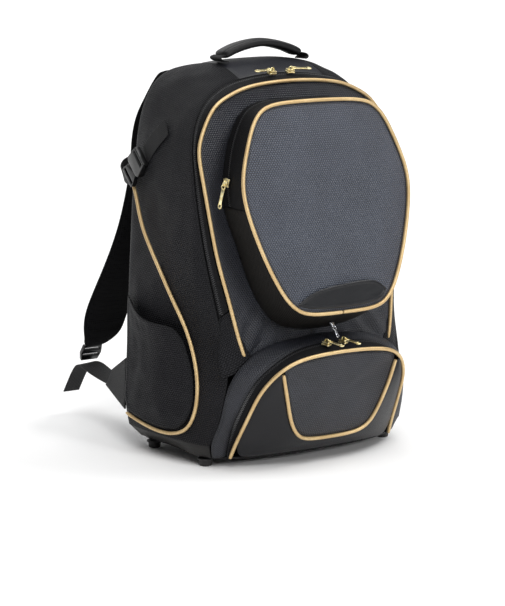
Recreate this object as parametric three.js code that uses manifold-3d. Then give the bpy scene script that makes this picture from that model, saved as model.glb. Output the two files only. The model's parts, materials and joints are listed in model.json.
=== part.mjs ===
// Baseball bat backpack, in millimetres: +Z up, -Y the front, the floor under its four feet at Z = 0.
import * as THREE from 'three';
import { mergeVertices } from 'three/addons/utils/BufferGeometryUtils.js';
import Module from 'manifold-3d';

const wasm = await Module();
wasm.setup();

// Bag body
const bodyWidth = 350;
const bodyHeight = 504;
const depthAtTop = 125.5;
const depthAtFloor = 214.5;
const sideBulge = 7;
const topBulge = 10;
const shoulderDip = 6;
const shoulderStart = 0.7;
const clothWall = 2.4;
const backPadding = 9;
const backBulge = 5;
const baseThickness = 3;
const baseClearance = 10.4;
const seamGap = 0.4;
const pipingDiameter = 4.2;
const mainZipEnd = 198;

// Upper pocket
const upperWidth = 256;
const upperHeight = 261;
const upperBottom = 197;
const upperDepthTop = 52;
const upperDepthBottom = 62;
const upperFullness = 9;
const upperZipEnd = 330;
const cordGapShare = 0.0006;
const patchThickness = 1.6;

// Lower pocket
const lowerWidth = 260;
const lowerHeight = 148;
const lowerReach = 58;
const lowerFullness = 5;

// Side pockets and their piping
const pocketGape = 15;
const pocketStandOff = 2;

// Webbing, buckles and shoulder straps
const webbingWidth = 25;
const webbingThickness = 1.6;
const loopWidth = 22;
const buckleLength = 46;
const buckleWidth = 34;
const buckleThickness = 9;
const padWidth = 66;
const padThickness = 10;
const lockWidth = 32;
const lockLength = 25;
const lockThickness = 5;
const strapReach = 146;

// Handle
const handleSpan = 118;
const handleY = 18;
const handleRise = 26;
const gripWidth = 26;
const gripThickness = 9;

// Feet
const footSpacingX = 282;
const footFrontY = -68;
const footRearY = 53;
const footDiameter = 17;

// Zip sliders and their pulls
const sliderLength = 10;
const sliderWidth = 8;
const sliderHeight = 5;
const pullWidth = 6;
const pullThickness = 1.6;
const pullHole = 2;
const mainPullLength = 30;
const lowerPullLength = 24;
const silverPullLength = 15;

const halfBody = bodyWidth / 2;
const backY = 75;
const pipingRadius = pipingDiameter / 2;
const edgeTrim = Math.max(pipingRadius, clothWall) + seamGap;
const cornerTrim = clothWall + 2 * seamGap;
const bodyCore = new THREE.Vector3(0, 0, bodyHeight / 2);
const pipingSides = 6;

const fabricDark = { color: 0x23252c, roughness: 0.75, metalness: 0.0 };
const fabricSlate = { color: 0x444956, roughness: 0.7, metalness: 0.0 };
const leatherette = { color: 0x1b1c22, roughness: 0.45, metalness: 0.0 };
const webbing = { color: 0x0b0b0d, roughness: 0.9, metalness: 0.0 };
const plastic = { color: 0x101012, roughness: 0.4, metalness: 0.0 };
const goldTrim = { color: 0xc9a468, roughness: 0.45, metalness: 0.35 };
const brass = { color: 0xd9c98a, roughness: 0.25, metalness: 1.0 };
const silver = { color: 0xc4c6ca, roughness: 0.25, metalness: 1.0 };

// Each row: x as a share of half the body width, d of the body's depth at that height, z of its height
const rearEdge = [
  { x: 0.965, d: 0.015, z: 0.062 },
  { x: 1.0, d: 0.015, z: 0.107 },
  { x: 0.989, d: 0.015, z: 0.171 },
  { x: 0.96, d: 0.016, z: 0.391 },
  { x: 0.937, d: 0.018, z: 0.544 },
  { x: 0.914, d: 0.02, z: 0.673 },
  { x: 0.886, d: 0.027, z: 0.774 },
  { x: 0.857, d: 0.036, z: 0.855 },
  { x: 0.811, d: 0.045, z: 0.905 },
  { x: 0.76, d: 0.053, z: 0.938 },
  { x: 0.703, d: 0.07, z: 0.964 },
  { x: 0.611, d: 0.086, z: 0.98 },
  { x: 0.38, d: 0.102, z: 0.985 },
];
const cornerSeam = [
  { x: 0.87, d: 0.79, z: 0.062 },
  { x: 0.84, d: 0.88, z: 0.12 },
  { x: 0.808, d: 0.93, z: 0.191 },
  { x: 0.77, d: 0.955, z: 0.248 },
  { x: 0.78, d: 0.935, z: 0.304 },
  { x: 0.8, d: 0.92, z: 0.38 },
  { x: 0.835, d: 0.925, z: 0.449 },
  { x: 0.88, d: 0.935, z: 0.549 },
  { x: 0.905, d: 0.945, z: 0.651 },
  { x: 0.905, d: 0.94, z: 0.735 },
  { x: 0.875, d: 0.92, z: 0.826 },
  { x: 0.755, d: 0.87, z: 0.893 },
  { x: 0.6, d: 0.825, z: 0.932 },
  { x: 0.485, d: 0.82, z: 0.95 },
  { x: 0.38, d: 0.84, z: 0.959 },
];
const topRear = [
  { x: 0.38, d: 0.102, z: 0.985 },
  { x: 0.2, d: 0.112, z: 0.991 },
  { x: 0.0, d: 0.115, z: 0.992 },
];
const topFront = [
  { x: 0.38, d: 0.84, z: 0.959 },
  { x: 0.19, d: 0.855, z: 0.969 },
  { x: 0.0, d: 0.86, z: 0.972 },
];
const frontSeam = [
  { x: 0.646, d: 1.0, z: 0.286 },
  { x: 0.663, d: 1.0, z: 0.302 },
  { x: 0.731, d: 1.0, z: 0.423 },
  { x: 0.794, d: 1.0, z: 0.53 },
  { x: 0.823, d: 1.0, z: 0.623 },
  { x: 0.84, d: 1.0, z: 0.685 },
  { x: 0.857, d: 1.0, z: 0.752 },
  { x: 0.869, d: 1.0, z: 0.784 },
  { x: 0.846, d: 1.0, z: 0.812 },
  { x: 0.777, d: 1.0, z: 0.855 },
  { x: 0.703, d: 1.005, z: 0.895 },
  { x: 0.577, d: 1.02, z: 0.92 },
  { x: 0.457, d: 1.04, z: 0.937 },
  { x: 0.314, d: 1.05, z: 0.946 },
  { x: 0.0, d: 1.055, z: 0.952 },
];
const bootFoot = [
  { x: 0.857, d: 0.014, z: 0.026 },
  { x: 0.845, d: 0.2, z: 0.026 },
  { x: 0.853, d: 0.448, z: 0.026 },
  { x: 0.877, d: 0.62, z: 0.026 },
  { x: 0.829, d: 0.75, z: 0.026 },
];
const lowerSeam = [
  { x: 0.829, d: 0.75, z: 0.026 },
  ...cornerSeam.slice(0, 3),
  { x: 0.76, d: 0.965, z: 0.238 },
  { x: 0.715, d: 0.99, z: 0.26 },
  { x: 0.66, d: 1.005, z: 0.276 },
  { x: 0.56, d: 1.01, z: 0.298 },
  { x: 0.4, d: 1.01, z: 0.312 },
  { x: 0.206, d: 1.01, z: 0.319 },
  { x: 0.0, d: 1.01, z: 0.323 },
];

// Each row: x as a share of half the pocket width, z of the pocket height above its foot
const upperFrontEdge = [
  { x: 0.0, z: 0.0 },
  { x: 0.3, z: 0.002 },
  { x: 0.44, z: 0.008 },
  { x: 0.565, z: 0.035 },
  { x: 0.67, z: 0.104 },
  { x: 0.8, z: 0.231 },
  { x: 0.9, z: 0.365 },
  { x: 0.97, z: 0.488 },
  { x: 1.0, z: 0.592 },
  { x: 0.985, z: 0.662 },
  { x: 0.885, z: 0.804 },
  { x: 0.785, z: 0.912 },
  { x: 0.7, z: 0.965 },
  { x: 0.54, z: 0.99 },
  { x: 0.27, z: 0.998 },
  { x: 0.0, z: 1.0 },
];
const upperBackEdge = [
  { x: 0.0, z: -0.115 },
  { x: 0.34, z: -0.1 },
  { x: 0.5, z: -0.073 },
  { x: 0.585, z: -0.031 },
  { x: 0.677, z: 0.038 },
  { x: 0.777, z: 0.154 },
  { x: 0.854, z: 0.304 },
  { x: 0.954, z: 0.458 },
  { x: 0.97, z: 0.515 },
  { x: 0.97, z: 0.573 },
  { x: 0.923, z: 0.681 },
  { x: 0.86, z: 0.788 },
  { x: 0.76, z: 0.881 },
  { x: 0.65, z: 0.955 },
  { x: 0.46, z: 0.992 },
  { x: 0.23, z: 1.0 },
  { x: 0.0, z: 1.004 },
];

const patchOutline = [
  { x: -0.53, z: 0.057 },
  { x: -0.36, z: 0.107 },
  { x: -0.18, z: 0.127 },
  { x: 0.0, z: 0.135 },
  { x: 0.2, z: 0.142 },
  { x: 0.385, z: 0.138 },
  { x: 0.5, z: 0.111 },
  { x: 0.555, z: 0.075 },
  { x: 0.48, z: 0.045 },
  { x: 0.3, z: 0.03 },
  { x: 0.0, z: 0.024 },
  { x: -0.3, z: 0.03 },
  { x: -0.46, z: 0.04 },
];

// Each row: x of half the pocket width, out of its reach in front of the leaning panel, z of its height
const archEdge = [
  { x: 0.969, out: -0.64, z: 0.088 },
  { x: 0.96, out: -0.55, z: 0.149 },
  { x: 0.915, out: 0.0, z: 0.446 },
  { x: 0.854, out: 0.5, z: 0.716 },
  { x: 0.708, out: 0.84, z: 0.892 },
  { x: 0.538, out: 0.98, z: 0.966 },
  { x: 0.269, out: 0.99, z: 0.993 },
  { x: 0.0, out: 1.0, z: 1.0 },
];
const tapeEdge = [
  { x: 0.977, out: -0.76, z: 0.095 },
  { x: 1.0, out: -0.44, z: 0.304 },
  { x: 0.969, out: 0.07, z: 0.595 },
  { x: 0.892, out: 0.38, z: 0.79 },
  { x: 0.723, out: 0.53, z: 0.919 },
  { x: 0.508, out: 0.61, z: 1.02 },
  { x: 0.246, out: 0.61, z: 1.061 },
  { x: 0.0, out: 0.61, z: 1.068 },
];
const cupEdge = [
  { x: 0.0, out: 0.12, z: 0.223 },
  { x: 0.2, out: 0.14, z: 0.228 },
  { x: 0.346, out: 0.19, z: 0.25 },
  { x: 0.431, out: 0.26, z: 0.297 },
  { x: 0.508, out: 0.36, z: 0.399 },
  { x: 0.608, out: 0.61, z: 0.642 },
  { x: 0.675, out: 0.78, z: 0.852 },
];
const cupTop = [
  { x: 0.66, out: 0.87, z: 0.91 },
  { x: 0.538, out: 0.98, z: 0.966 },
  { x: 0.269, out: 0.99, z: 0.993 },
  { x: 0.0, out: 1.0, z: 1.0 },
];
const surroundFoot = [
  { x: 0.0, out: -0.33, z: 0.088 },
  { x: 0.269, out: -0.35, z: 0.088 },
  { x: 0.654, out: -0.44, z: 0.088 },
  { x: 0.93, out: -0.61, z: 0.088 },
];

// Side piping and pocket outline: y as a share of the depth at the floor, z of the body height
const leafCurve = [
  { y: 0.3, z: 0.688 },
  { y: 0.244, z: 0.657 },
  { y: 0.17, z: 0.593 },
  { y: 0.077, z: 0.538 },
  { y: -0.017, z: 0.484 },
  { y: -0.096, z: 0.428 },
  { y: -0.169, z: 0.377 },
  { y: -0.245, z: 0.318 },
  { y: -0.284, z: 0.269 },
  { y: -0.323, z: 0.213 },
  { y: -0.336, z: 0.164 },
  { y: -0.317, z: 0.121 },
  { y: -0.261, z: 0.09 },
  { y: -0.135, z: 0.073 },
  { y: 0.028, z: 0.073 },
  { y: 0.138, z: 0.08 },
  { y: 0.254, z: 0.088 },
  { y: 0.315, z: 0.094 },
];
const pocketOutline = [
  { y: 0.3, z: 0.403 },
  { y: 0.171, z: 0.369 },
  { y: 0.091, z: 0.358 },
  { y: 0.015, z: 0.352 },
  { y: -0.06, z: 0.351 },
  { y: -0.128, z: 0.352 },
  { y: -0.178, z: 0.348 },
  { y: -0.222, z: 0.318 },
  { y: -0.262, z: 0.269 },
  { y: -0.302, z: 0.213 },
  { y: -0.315, z: 0.166 },
  { y: -0.296, z: 0.128 },
  { y: -0.25, z: 0.102 },
  { y: -0.135, z: 0.085 },
  { y: 0.028, z: 0.085 },
  { y: 0.138, z: 0.092 },
  { y: 0.254, z: 0.1 },
  { y: 0.3, z: 0.105 },
  { y: 0.3, z: 0.2 },
  { y: 0.3, z: 0.3 },
];

// Shoulder strap: x of half the body width, back of the reach behind the bag, z of the body height
const strapRows = [
  { x: 0.366, back: 0.02, z: 0.925, width: 1 },
  { x: 0.366, back: 0.09, z: 0.955, width: 1 },
  { x: 0.366, back: 0.18, z: 0.961, width: 1 },
  { x: 0.371, back: 0.3, z: 0.929, width: 1 },
  { x: 0.383, back: 0.42, z: 0.883, width: 1 },
  { x: 0.406, back: 0.52, z: 0.839, width: 1 },
  { x: 0.434, back: 0.54, z: 0.782, width: 1 },
  { x: 0.463, back: 0.5, z: 0.716, width: 1 },
  { x: 0.486, back: 0.51, z: 0.663, width: 1 },
  { x: 0.537, back: 0.56, z: 0.552, width: 1 },
  { x: 0.594, back: 0.71, z: 0.442, width: 1 },
  { x: 0.634, back: 0.87, z: 0.357, width: 1 },
  { x: 0.657, back: 0.98, z: 0.296, width: 0.97 },
  { x: 0.669, back: 1.0, z: 0.252, width: 0.88 },
  { x: 0.69, back: 1.04, z: 0.226, width: 0.6 },
  { x: 0.71, back: 1.1, z: 0.213, width: 0.42 },
];
// Webbing from the wing, past the ladder lock, to its free end: turn is 0 flat to 1 on edge
const tailRows = [
  { x: 0.834, back: 0.565, z: 0.151, turn: 1 },
  { x: 0.8, back: 0.75, z: 0.152, turn: 0.8 },
  { x: 0.76, back: 0.98, z: 0.155, turn: 0.45 },
  { x: 0.73, back: 1.19, z: 0.157, turn: 0.1 },
  { x: 0.728, back: 1.27, z: 0.145, turn: 0 },
  { x: 0.728, back: 1.37, z: 0.11, turn: 0 },
  { x: 0.728, back: 1.485, z: 0.063, turn: 0 },
];
const endRows = [
  { out: 0.03, front: 0, rise: 1 },
  { out: 0.3, front: 0.03, rise: 0.85 },
  { out: 0.38, front: 0.08, rise: 0.5 },
  { out: 0.28, front: 0.2, rise: 0.16 },
  { out: 0.06, front: 0.32, rise: 0.02 },
];
const compressionRows = [
  { y: -0.019, z: 0.841 },
  { y: 0.075, z: 0.804 },
  { y: 0.159, z: 0.766 },
];
const loopRows = [
  { in: 0, back: 0 },
  { in: 0.06, back: 0.2 },
  { in: 0.3, back: 0.5 },
  { in: 0.7, back: 0.85 },
  { in: 1, back: 1 },
];
const lockRun = { back: 0.48, drop: 0.88 };
const wingRoots = [0.235, 0.1];
const mainSliderRows = [
  { name: 'left', x: -0.15, pullX: -1 },
  { name: 'right', x: 0.012, pullX: 1 },
];
const lowerSliderRows = [
  { name: 'left', x: -0.155 },
  { name: 'right', x: 0.045 },
];
const gripRows = [
  { along: -1, rise: 0.36 },
  { along: -0.82, rise: 0.56 },
  { along: -0.5, rise: 0.8 },
  { along: 0, rise: 1 },
  { along: 0.5, rise: 0.8 },
  { along: 0.82, rise: 0.56 },
  { along: 1, rise: 0.36 },
];

const lerp = THREE.MathUtils.lerp;

function vector(x, y, z) {
  return new THREE.Vector3(x, y, z);
}

function depthAt(z) {
  return lerp(depthAtFloor, depthAtTop, z / bodyHeight);
}

function frontY(z) {
  return backY - depthAt(z);
}

function bodyPoint(row) {
  const z = row.z * bodyHeight;
  return vector(row.x * halfBody, backY - row.d * depthAt(z), z);
}

function upperPoint(row, reach) {
  const z = upperBottom + row.z * upperHeight;
  const depth = lerp(upperDepthBottom, upperDepthTop, row.z);
  return vector((row.x * upperWidth) / 2, frontY(z) - reach * depth, z);
}

function lowerPoint(row) {
  const z = row.z * lowerHeight;
  return vector((row.x * lowerWidth) / 2, frontY(z) - row.out * lowerReach, z);
}

function mirrorX(points) {
  return points.map((point) => vector(-point.x, point.y, point.z));
}

// A half outline that ends on the middle plane, with its mirror image before it
function arch(half) {
  return [...mirrorX(half), ...half.slice(0, -1).reverse()];
}

function along(points, steps, closed = false) {
  const curve = new THREE.CatmullRomCurve3(points, closed, 'centripetal');
  const spaced = curve.getSpacedPoints(steps);
  return closed ? spaced.slice(0, -1) : spaced;
}

// The stretch of a polyline from a share of its length to another
function stretch(points, from, to, steps) {
  const curve = new THREE.CatmullRomCurve3(points, false, 'centripetal');
  const list = [];
  for (let i = 0; i <= steps; i += 1) {
    list.push(curve.getPointAt(lerp(from, to, i / steps)));
  }
  return list;
}

// The share of a curve's length at which it first rises above a height
function shareAtHeight(points, height) {
  const curve = new THREE.CatmullRomCurve3(points, false, 'centripetal');
  const samples = 400;
  for (let i = 0; i <= samples; i += 1) {
    if (curve.getPointAt(i / samples).z >= height) {
      return i / samples;
    }
  }
  return 0;
}

function signedVolume(positions, triangles) {
  const at = (index) => vector(...positions.slice(index * 3, index * 3 + 3));
  let sum = 0;
  for (const [a, b, c] of triangles) {
    sum += at(a).dot(at(b).clone().cross(at(c)));
  }
  return sum / 6;
}

function solidFrom(points, triangles) {
  const positions = points.flatMap((point) => [point.x, point.y, point.z]);
  const outward = signedVolume(positions, triangles) > 0;
  const index = triangles.flatMap(([a, b, c]) => (outward ? [a, b, c] : [a, c, b]));
  const geometry = new THREE.BufferGeometry();
  geometry.setAttribute('position', new THREE.Float32BufferAttribute(positions, 3));
  geometry.setIndex(index);
  return geometry;
}

// Merged corners and outward faces, for a geometry that three.js made
function cleaned(source) {
  const bare = source.clone();
  bare.deleteAttribute('normal');
  bare.deleteAttribute('uv');
  const merged = mergeVertices(bare, 1e-4);
  const position = merged.getAttribute('position');
  const points = [];
  for (let i = 0; i < position.count; i += 1) {
    points.push(vector(position.getX(i), position.getY(i), position.getZ(i)));
  }
  const index = merged.getIndex().array;
  const triangles = [];
  for (let i = 0; i < index.length; i += 3) {
    const [a, b, c] = [index[i], index[i + 1], index[i + 2]];
    if (a !== b && b !== c && c !== a) {
      triangles.push([a, b, c]);
    }
  }
  return solidFrom(points, triangles);
}

function toManifold(geometry) {
  const position = geometry.getAttribute('position');
  const mesh = new wasm.Mesh({
    numProp: 3,
    vertProperties: new Float32Array(position.array),
    triVerts: new Uint32Array(geometry.getIndex().array),
  });
  return new wasm.Manifold(mesh);
}

function fused(geometries) {
  const joined = geometries.map(toManifold).reduce((first, second) => first.add(second));
  const mesh = joined.getMesh();
  const geometry = new THREE.BufferGeometry();
  geometry.setAttribute('position', new THREE.BufferAttribute(mesh.vertProperties, 3));
  geometry.setIndex(new THREE.BufferAttribute(mesh.triVerts, 1));
  return geometry;
}

function gridNormals(rows) {
  const last = rows.length - 1;
  return rows.map((row, i) => row.map((point, j) => {
    const alongRow = rows[Math.min(i + 1, last)][j].clone().sub(rows[Math.max(i - 1, 0)][j]);
    const acrossEnd = row[Math.min(j + 1, row.length - 1)];
    const across = acrossEnd.clone().sub(row[Math.max(j - 1, 0)]);
    return alongRow.cross(across).normalize();
  }));
}

// A wall between a grid of points and the same grid moved in; with no core it is centred on the grid
function slab(rows, thickness, core = null) {
  const normals = gridNormals(rows);
  let facing = 0;
  if (core) {
    rows.forEach((row, i) => row.forEach((point, j) => {
      facing += normals[i][j].dot(point.clone().sub(core));
    }));
  }
  const outward = facing < 0 ? -1 : 1;
  const outerShift = core ? 0 : thickness / 2;
  const columns = rows[0].length;
  const points = [];
  for (const shift of [outerShift, outerShift - thickness]) {
    rows.forEach((row, i) => row.forEach((point, j) => {
      points.push(point.clone().addScaledVector(normals[i][j], outward * shift));
    }));
  }
  const count = rows.length * columns;
  const triangles = [];
  const quad = (a, b, c, d) => triangles.push([a, b, c], [a, c, d]);
  for (let i = 0; i < rows.length - 1; i += 1) {
    for (let j = 0; j < columns - 1; j += 1) {
      const a = i * columns + j;
      const b = a + 1;
      const c = a + columns + 1;
      const d = a + columns;
      quad(a, b, c, d);
      quad(a + count, d + count, c + count, b + count);
    }
  }
  const rim = [];
  for (let j = 0; j < columns - 1; j += 1) {
    rim.push(j);
  }
  for (let i = 0; i < rows.length - 1; i += 1) {
    rim.push(i * columns + columns - 1);
  }
  for (let j = columns - 1; j > 0; j -= 1) {
    rim.push((rows.length - 1) * columns + j);
  }
  for (let i = rows.length - 1; i > 0; i -= 1) {
    rim.push(i * columns);
  }
  rim.forEach((from, k) => {
    const to = rim[(k + 1) % rim.length];
    quad(from, from + count, to + count, to);
  });
  return solidFrom(points, triangles);
}

// Points between two edges, kept clear of each edge by a trim and bowed outwards by a bulge
function between(first, second, options) {
  const { firstTrim = 0, secondTrim = 0, across = 2, core = bodyCore } = options;
  const bulgeAt = typeof options.bulge === 'function' ? options.bulge : () => options.bulge ?? 0;
  return first.map((start, i) => {
    const end = second[i];
    const before = Math.max(i - 1, 0);
    const after = Math.min(i + 1, first.length - 1);
    const chord = end.clone().sub(start);
    const length = chord.length();
    const run = first[after].clone().add(second[after]).sub(first[before]).sub(second[before]);
    const normal = run.cross(chord).normalize();
    const middle = start.clone().add(end).multiplyScalar(0.5);
    if (normal.dot(middle.sub(core)) < 0) {
      normal.negate();
    }
    const row = [];
    for (let j = 0; j <= across; j += 1) {
      const share = lerp(firstTrim / length, 1 - secondTrim / length, j / across);
      const rise = bulgeAt(i / (first.length - 1)) * 4 * share * (1 - share);
      row.push(start.clone().addScaledVector(chord, share).addScaledVector(normal, rise));
    }
    return row;
  });
}

function inset(outline, normal, amount) {
  const centre = middleOf(outline);
  return outline.map((point, i) => {
    const next = outline[(i + 1) % outline.length];
    const before = outline[(i + outline.length - 1) % outline.length];
    const forward = next.clone().sub(point).normalize();
    const inward = forward.add(point.clone().sub(before).normalize()).cross(normal).normalize();
    if (inward.dot(centre.clone().sub(point)) < 0) {
      inward.negate();
    }
    const edgeway = next.clone().sub(point).cross(normal).normalize();
    const mitre = Math.max(Math.abs(inward.dot(edgeway)), 0.5);
    return point.clone().addScaledVector(inward, amount / mitre);
  });
}

function middleOf(points) {
  const sum = points.reduce((total, point) => total.add(point), vector(0, 0, 0));
  return sum.multiplyScalar(1 / points.length);
}

// A domed plate inside a closed outline: rings from the rim to the middle, raised along the normal
function plate(outline, options) {
  const { normal, rise, thickness, rings = 2, fullness = 2 } = options;
  const centre = middleOf(outline);
  const count = outline.length;
  const points = [];
  for (const shift of [0, -thickness]) {
    for (let k = 1; k <= rings; k += 1) {
      const share = k / rings;
      const lift = rise * (1 - share ** fullness) + shift;
      for (const point of outline) {
        points.push(centre.clone().lerp(point, share).addScaledVector(normal, lift));
      }
    }
    points.push(centre.clone().addScaledVector(normal, rise + shift));
  }
  const face = rings * count + 1;
  const triangles = [];
  for (let i = 0; i < count; i += 1) {
    const next = (i + 1) % count;
    triangles.push([face - 1, i, next], [2 * face - 1, face + next, face + i]);
    for (let k = 0; k < rings - 1; k += 1) {
      const a = k * count + i;
      const b = k * count + next;
      const c = b + count;
      const d = a + count;
      triangles.push([a, d, c], [a, c, b]);
      triangles.push([a + face, c + face, d + face], [a + face, b + face, c + face]);
    }
    const edge = (rings - 1) * count;
    const [a, b] = [edge + i, edge + next];
    triangles.push([a, a + face, b + face], [a, b + face, b]);
  }
  return solidFrom(points, triangles);
}

function piping(points, steps, radius = pipingRadius) {
  const circle = new THREE.Shape();
  circle.absarc(0, 0, radius, 0, Math.PI * 2, false);
  const geometry = new THREE.ExtrudeGeometry(circle, {
    steps,
    curveSegments: pipingSides,
    bevelEnabled: false,
    extrudePath: new THREE.CatmullRomCurve3(points, false, 'centripetal'),
  });
  return cleaned(geometry);
}

// A flat band along a path, its width laid along one direction
function ribbon(path, widthways, width, thickness) {
  const rows = path.map((point, i) => {
    const side = Array.isArray(widthways) ? widthways[i] : widthways;
    const offset = side.clone().normalize().multiplyScalar(width / 2);
    return [point.clone().sub(offset), point.clone().add(offset)];
  });
  return slab(rows, thickness);
}

// A padded band: rounded sections along a path, each with its own width
function paddedBand(path, widths, thickness, widthways) {
  const profile = [
    { w: -1, t: -0.35 }, { w: -0.86, t: -1 }, { w: 0.86, t: -1 }, { w: 1, t: -0.35 },
    { w: 1, t: 0.35 }, { w: 0.86, t: 1 }, { w: -0.86, t: 1 }, { w: -1, t: 0.35 },
  ];
  const sides = profile.length;
  const points = [];
  path.forEach((point, i) => {
    const ahead = path[Math.min(i + 1, path.length - 1)];
    const run = ahead.clone().sub(path[Math.max(i - 1, 0)]);
    const normal = run.cross(widthways).normalize();
    for (const { w, t } of profile) {
      const corner = point.clone().addScaledVector(widthways, (w * widths[i]) / 2);
      points.push(corner.addScaledVector(normal, (t * thickness) / 2));
    }
  });
  const first = points.length;
  points.push(path[0].clone(), path[path.length - 1].clone());
  const triangles = [];
  for (let i = 0; i < path.length - 1; i += 1) {
    for (let k = 0; k < sides; k += 1) {
      const a = i * sides + k;
      const b = i * sides + ((k + 1) % sides);
      triangles.push([a, b, b + sides], [a, b + sides, a + sides]);
    }
  }
  const end = (path.length - 1) * sides;
  for (let k = 0; k < sides; k += 1) {
    const next = (k + 1) % sides;
    triangles.push([first, next, k], [first + 1, end + k, end + next]);
  }
  return solidFrom(points, triangles);
}

// A flat outline with holes, pushed up by its thickness and set in a frame of three directions
function flatPiece(outline, holes, thickness, frame) {
  const shape = new THREE.Shape(outline.map(([x, y]) => new THREE.Vector2(x, y)));
  for (const hole of holes) {
    shape.holes.push(new THREE.Path(hole.map(([x, y]) => new THREE.Vector2(x, y))));
  }
  const geometry = new THREE.ExtrudeGeometry(shape, { depth: thickness, bevelEnabled: false });
  geometry.translate(0, 0, -thickness / 2);
  const up = frame.up.clone().normalize();
  const lengthways = frame.along.clone().addScaledVector(up, -frame.along.dot(up)).normalize();
  const matrix = new THREE.Matrix4().makeBasis(lengthways, up.clone().cross(lengthways), up);
  matrix.setPosition(frame.at);
  geometry.applyMatrix4(matrix);
  return cleaned(geometry);
}

function rectangle(x0, y0, x1, y1) {
  return [[x0, y0], [x1, y0], [x1, y1], [x0, y1]];
}

// A point moved along a direction until it lies a lift outside the mesh
function seated(mesh, point, outwards, lift) {
  const base = surfaceUnder(mesh, point, outwards) ?? point;
  return base.clone().addScaledVector(outwards, lift);
}

function surfaceUnder(mesh, point, outwards) {
  const start = point.clone().addScaledVector(outwards, bodyWidth);
  const hits = new THREE.Raycaster(start, outwards.clone().negate()).intersectObject(mesh);
  return hits.length > 0 ? hits[0].point : null;
}

// The same for a flat thing over several points: it clears the highest of them
function seatedOver(mesh, point, offsets, outwards, lift) {
  const spots = offsets.map((offset) => surfaceUnder(mesh, point.clone().add(offset), outwards));
  const heights = spots.filter(Boolean).map((spot) => spot.clone().sub(point).dot(outwards));
  return point.clone().addScaledVector(outwards, Math.max(...heights) + lift);
}

function corners(first, second) {
  const signs = [[-1, -1], [-1, 1], [1, -1], [1, 1], [0, 0], [0, 1], [0, -1], [1, 0], [-1, 0]];
  return signs.map(([a, b]) => first.clone().multiplyScalar(a).addScaledVector(second, b));
}

const model = new THREE.Group();

function add(name, geometry, look) {
  geometry.computeVertexNormals();
  const mesh = new THREE.Mesh(geometry, new THREE.MeshStandardMaterial(look));
  mesh.name = name;
  model.add(mesh);
  return mesh;
}

const sides = [
  { name: 'left', sign: -1 },
  { name: 'right', sign: 1 },
];
const onSide = (points, sign) => points.map((point) => vector(sign * point.x, point.y, point.z));

// Side, top and boot panels

// The side bows out all the way up, least where it turns over the shoulder
function sideBow(share) {
  const shoulder = THREE.MathUtils.clamp((share - shoulderStart) / (1 - shoulderStart), 0, 1);
  return lerp(sideBulge, topBulge, share ** 4) - shoulderDip * Math.sin(Math.PI * shoulder);
}

const sideSteps = 16;
const rearPoints = rearEdge.map(bodyPoint);
const cornerPoints = cornerSeam.map(bodyPoint);
const sideMeshes = {};
const sideRows = between(along(rearPoints, sideSteps), along(cornerPoints, sideSteps), {
  across: 4,
  firstTrim: 0,
  bulge: sideBow,
});
for (const { name, sign } of sides) {
  const rows = sideRows.map((row) => onSide(row, sign));
  sideMeshes[name] = add(`side_panel_${name}`, slab(rows, clothWall, bodyCore), fabricDark);
}

function nudged(points, step) {
  return points.map((point) => point.clone().add(step));
}

const topSteps = 8;
const topRows = between(
  along(arch(topRear.map(bodyPoint)), topSteps),
  along(arch(topFront.map(bodyPoint)), topSteps),
  { across: 4, bulge: topBulge },
);
topRows[0] = nudged(topRows[0], vector(2 * seamGap, 0, 0));
topRows[topSteps] = nudged(topRows[topSteps], vector(-2 * seamGap, 0, 0));
const topMesh = add('top_panel', slab(topRows, clothWall, bodyCore), leatherette);

const bootSteps = 10;
const bootTop = along(sideRows[0], bootSteps);
const bootBottom = along(bootFoot.map(bodyPoint), bootSteps);
for (const { name, sign } of sides) {
  const rows = between(onSide(bootTop, sign), onSide(bootBottom, sign), {
    across: 1,
    firstTrim: clothWall,
  });
  add(`boot_${name}`, slab(rows, clothWall, bodyCore), leatherette);
}

// Back panel, inside the rear edges

const frontways = vector(0, -1, 0);
const backways = vector(0, 1, 0);
const upwards = vector(0, 0, 1);
const backHalf = [
  ...bootFoot.slice(0, 1).map(bodyPoint),
  ...rearPoints,
  ...topRear.slice(1).map(bodyPoint),
];
const backOutline = inset(along(arch(backHalf), 40), backways, cornerTrim + clothWall);
const backMesh = add('back_panel', plate(backOutline, {
  normal: backways,
  rise: backBulge,
  thickness: backPadding,
}), fabricDark);

// Front panel, main zip band and corner panels

const frontPoints = frontSeam.map(bodyPoint);
const seamSteps = 44;
const seamStations = along(arch(frontPoints), seamSteps);
const frontLean = vector(0, -bodyHeight, depthAtTop - depthAtFloor).normalize();
const frontMesh = add('front_panel', plate(inset(seamStations, frontLean, edgeTrim), {
  normal: frontLean,
  rise: 0,
  thickness: clothWall,
}), fabricSlate);

// The band and the corner panels share one strip between the corner seam and the piping
const stripOuter = [...cornerPoints.slice(3), ...topFront.slice(1).map(bodyPoint)];
const stripRows = between(along(arch(stripOuter), seamSteps), seamStations, {
  firstTrim: clothWall,
  secondTrim: edgeTrim,
  bulge: 1.5,
});
const bandStart = seamStations.findIndex((point) => point.z >= mainZipEnd);
const bandRows = stripRows.slice(bandStart, seamSteps + 1 - bandStart);
const bandMesh = add('main_zip_band', slab(bandRows, clothWall, bodyCore), webbing);
for (const { name, sign } of sides) {
  const rows = stripRows.slice(0, bandStart + 1).map((row) => onSide(row, -sign));
  rows[bandStart] = nudged(rows[bandStart], vector(0, 0, -2 * seamGap));
  add(`corner_panel_${name}`, slab(rows, clothWall, bodyCore), fabricDark);
}
add('main_piping', piping(arch(frontPoints), seamSteps), goldTrim);

// Lower front panel, hidden behind the lower pocket, and the base panel

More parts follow.
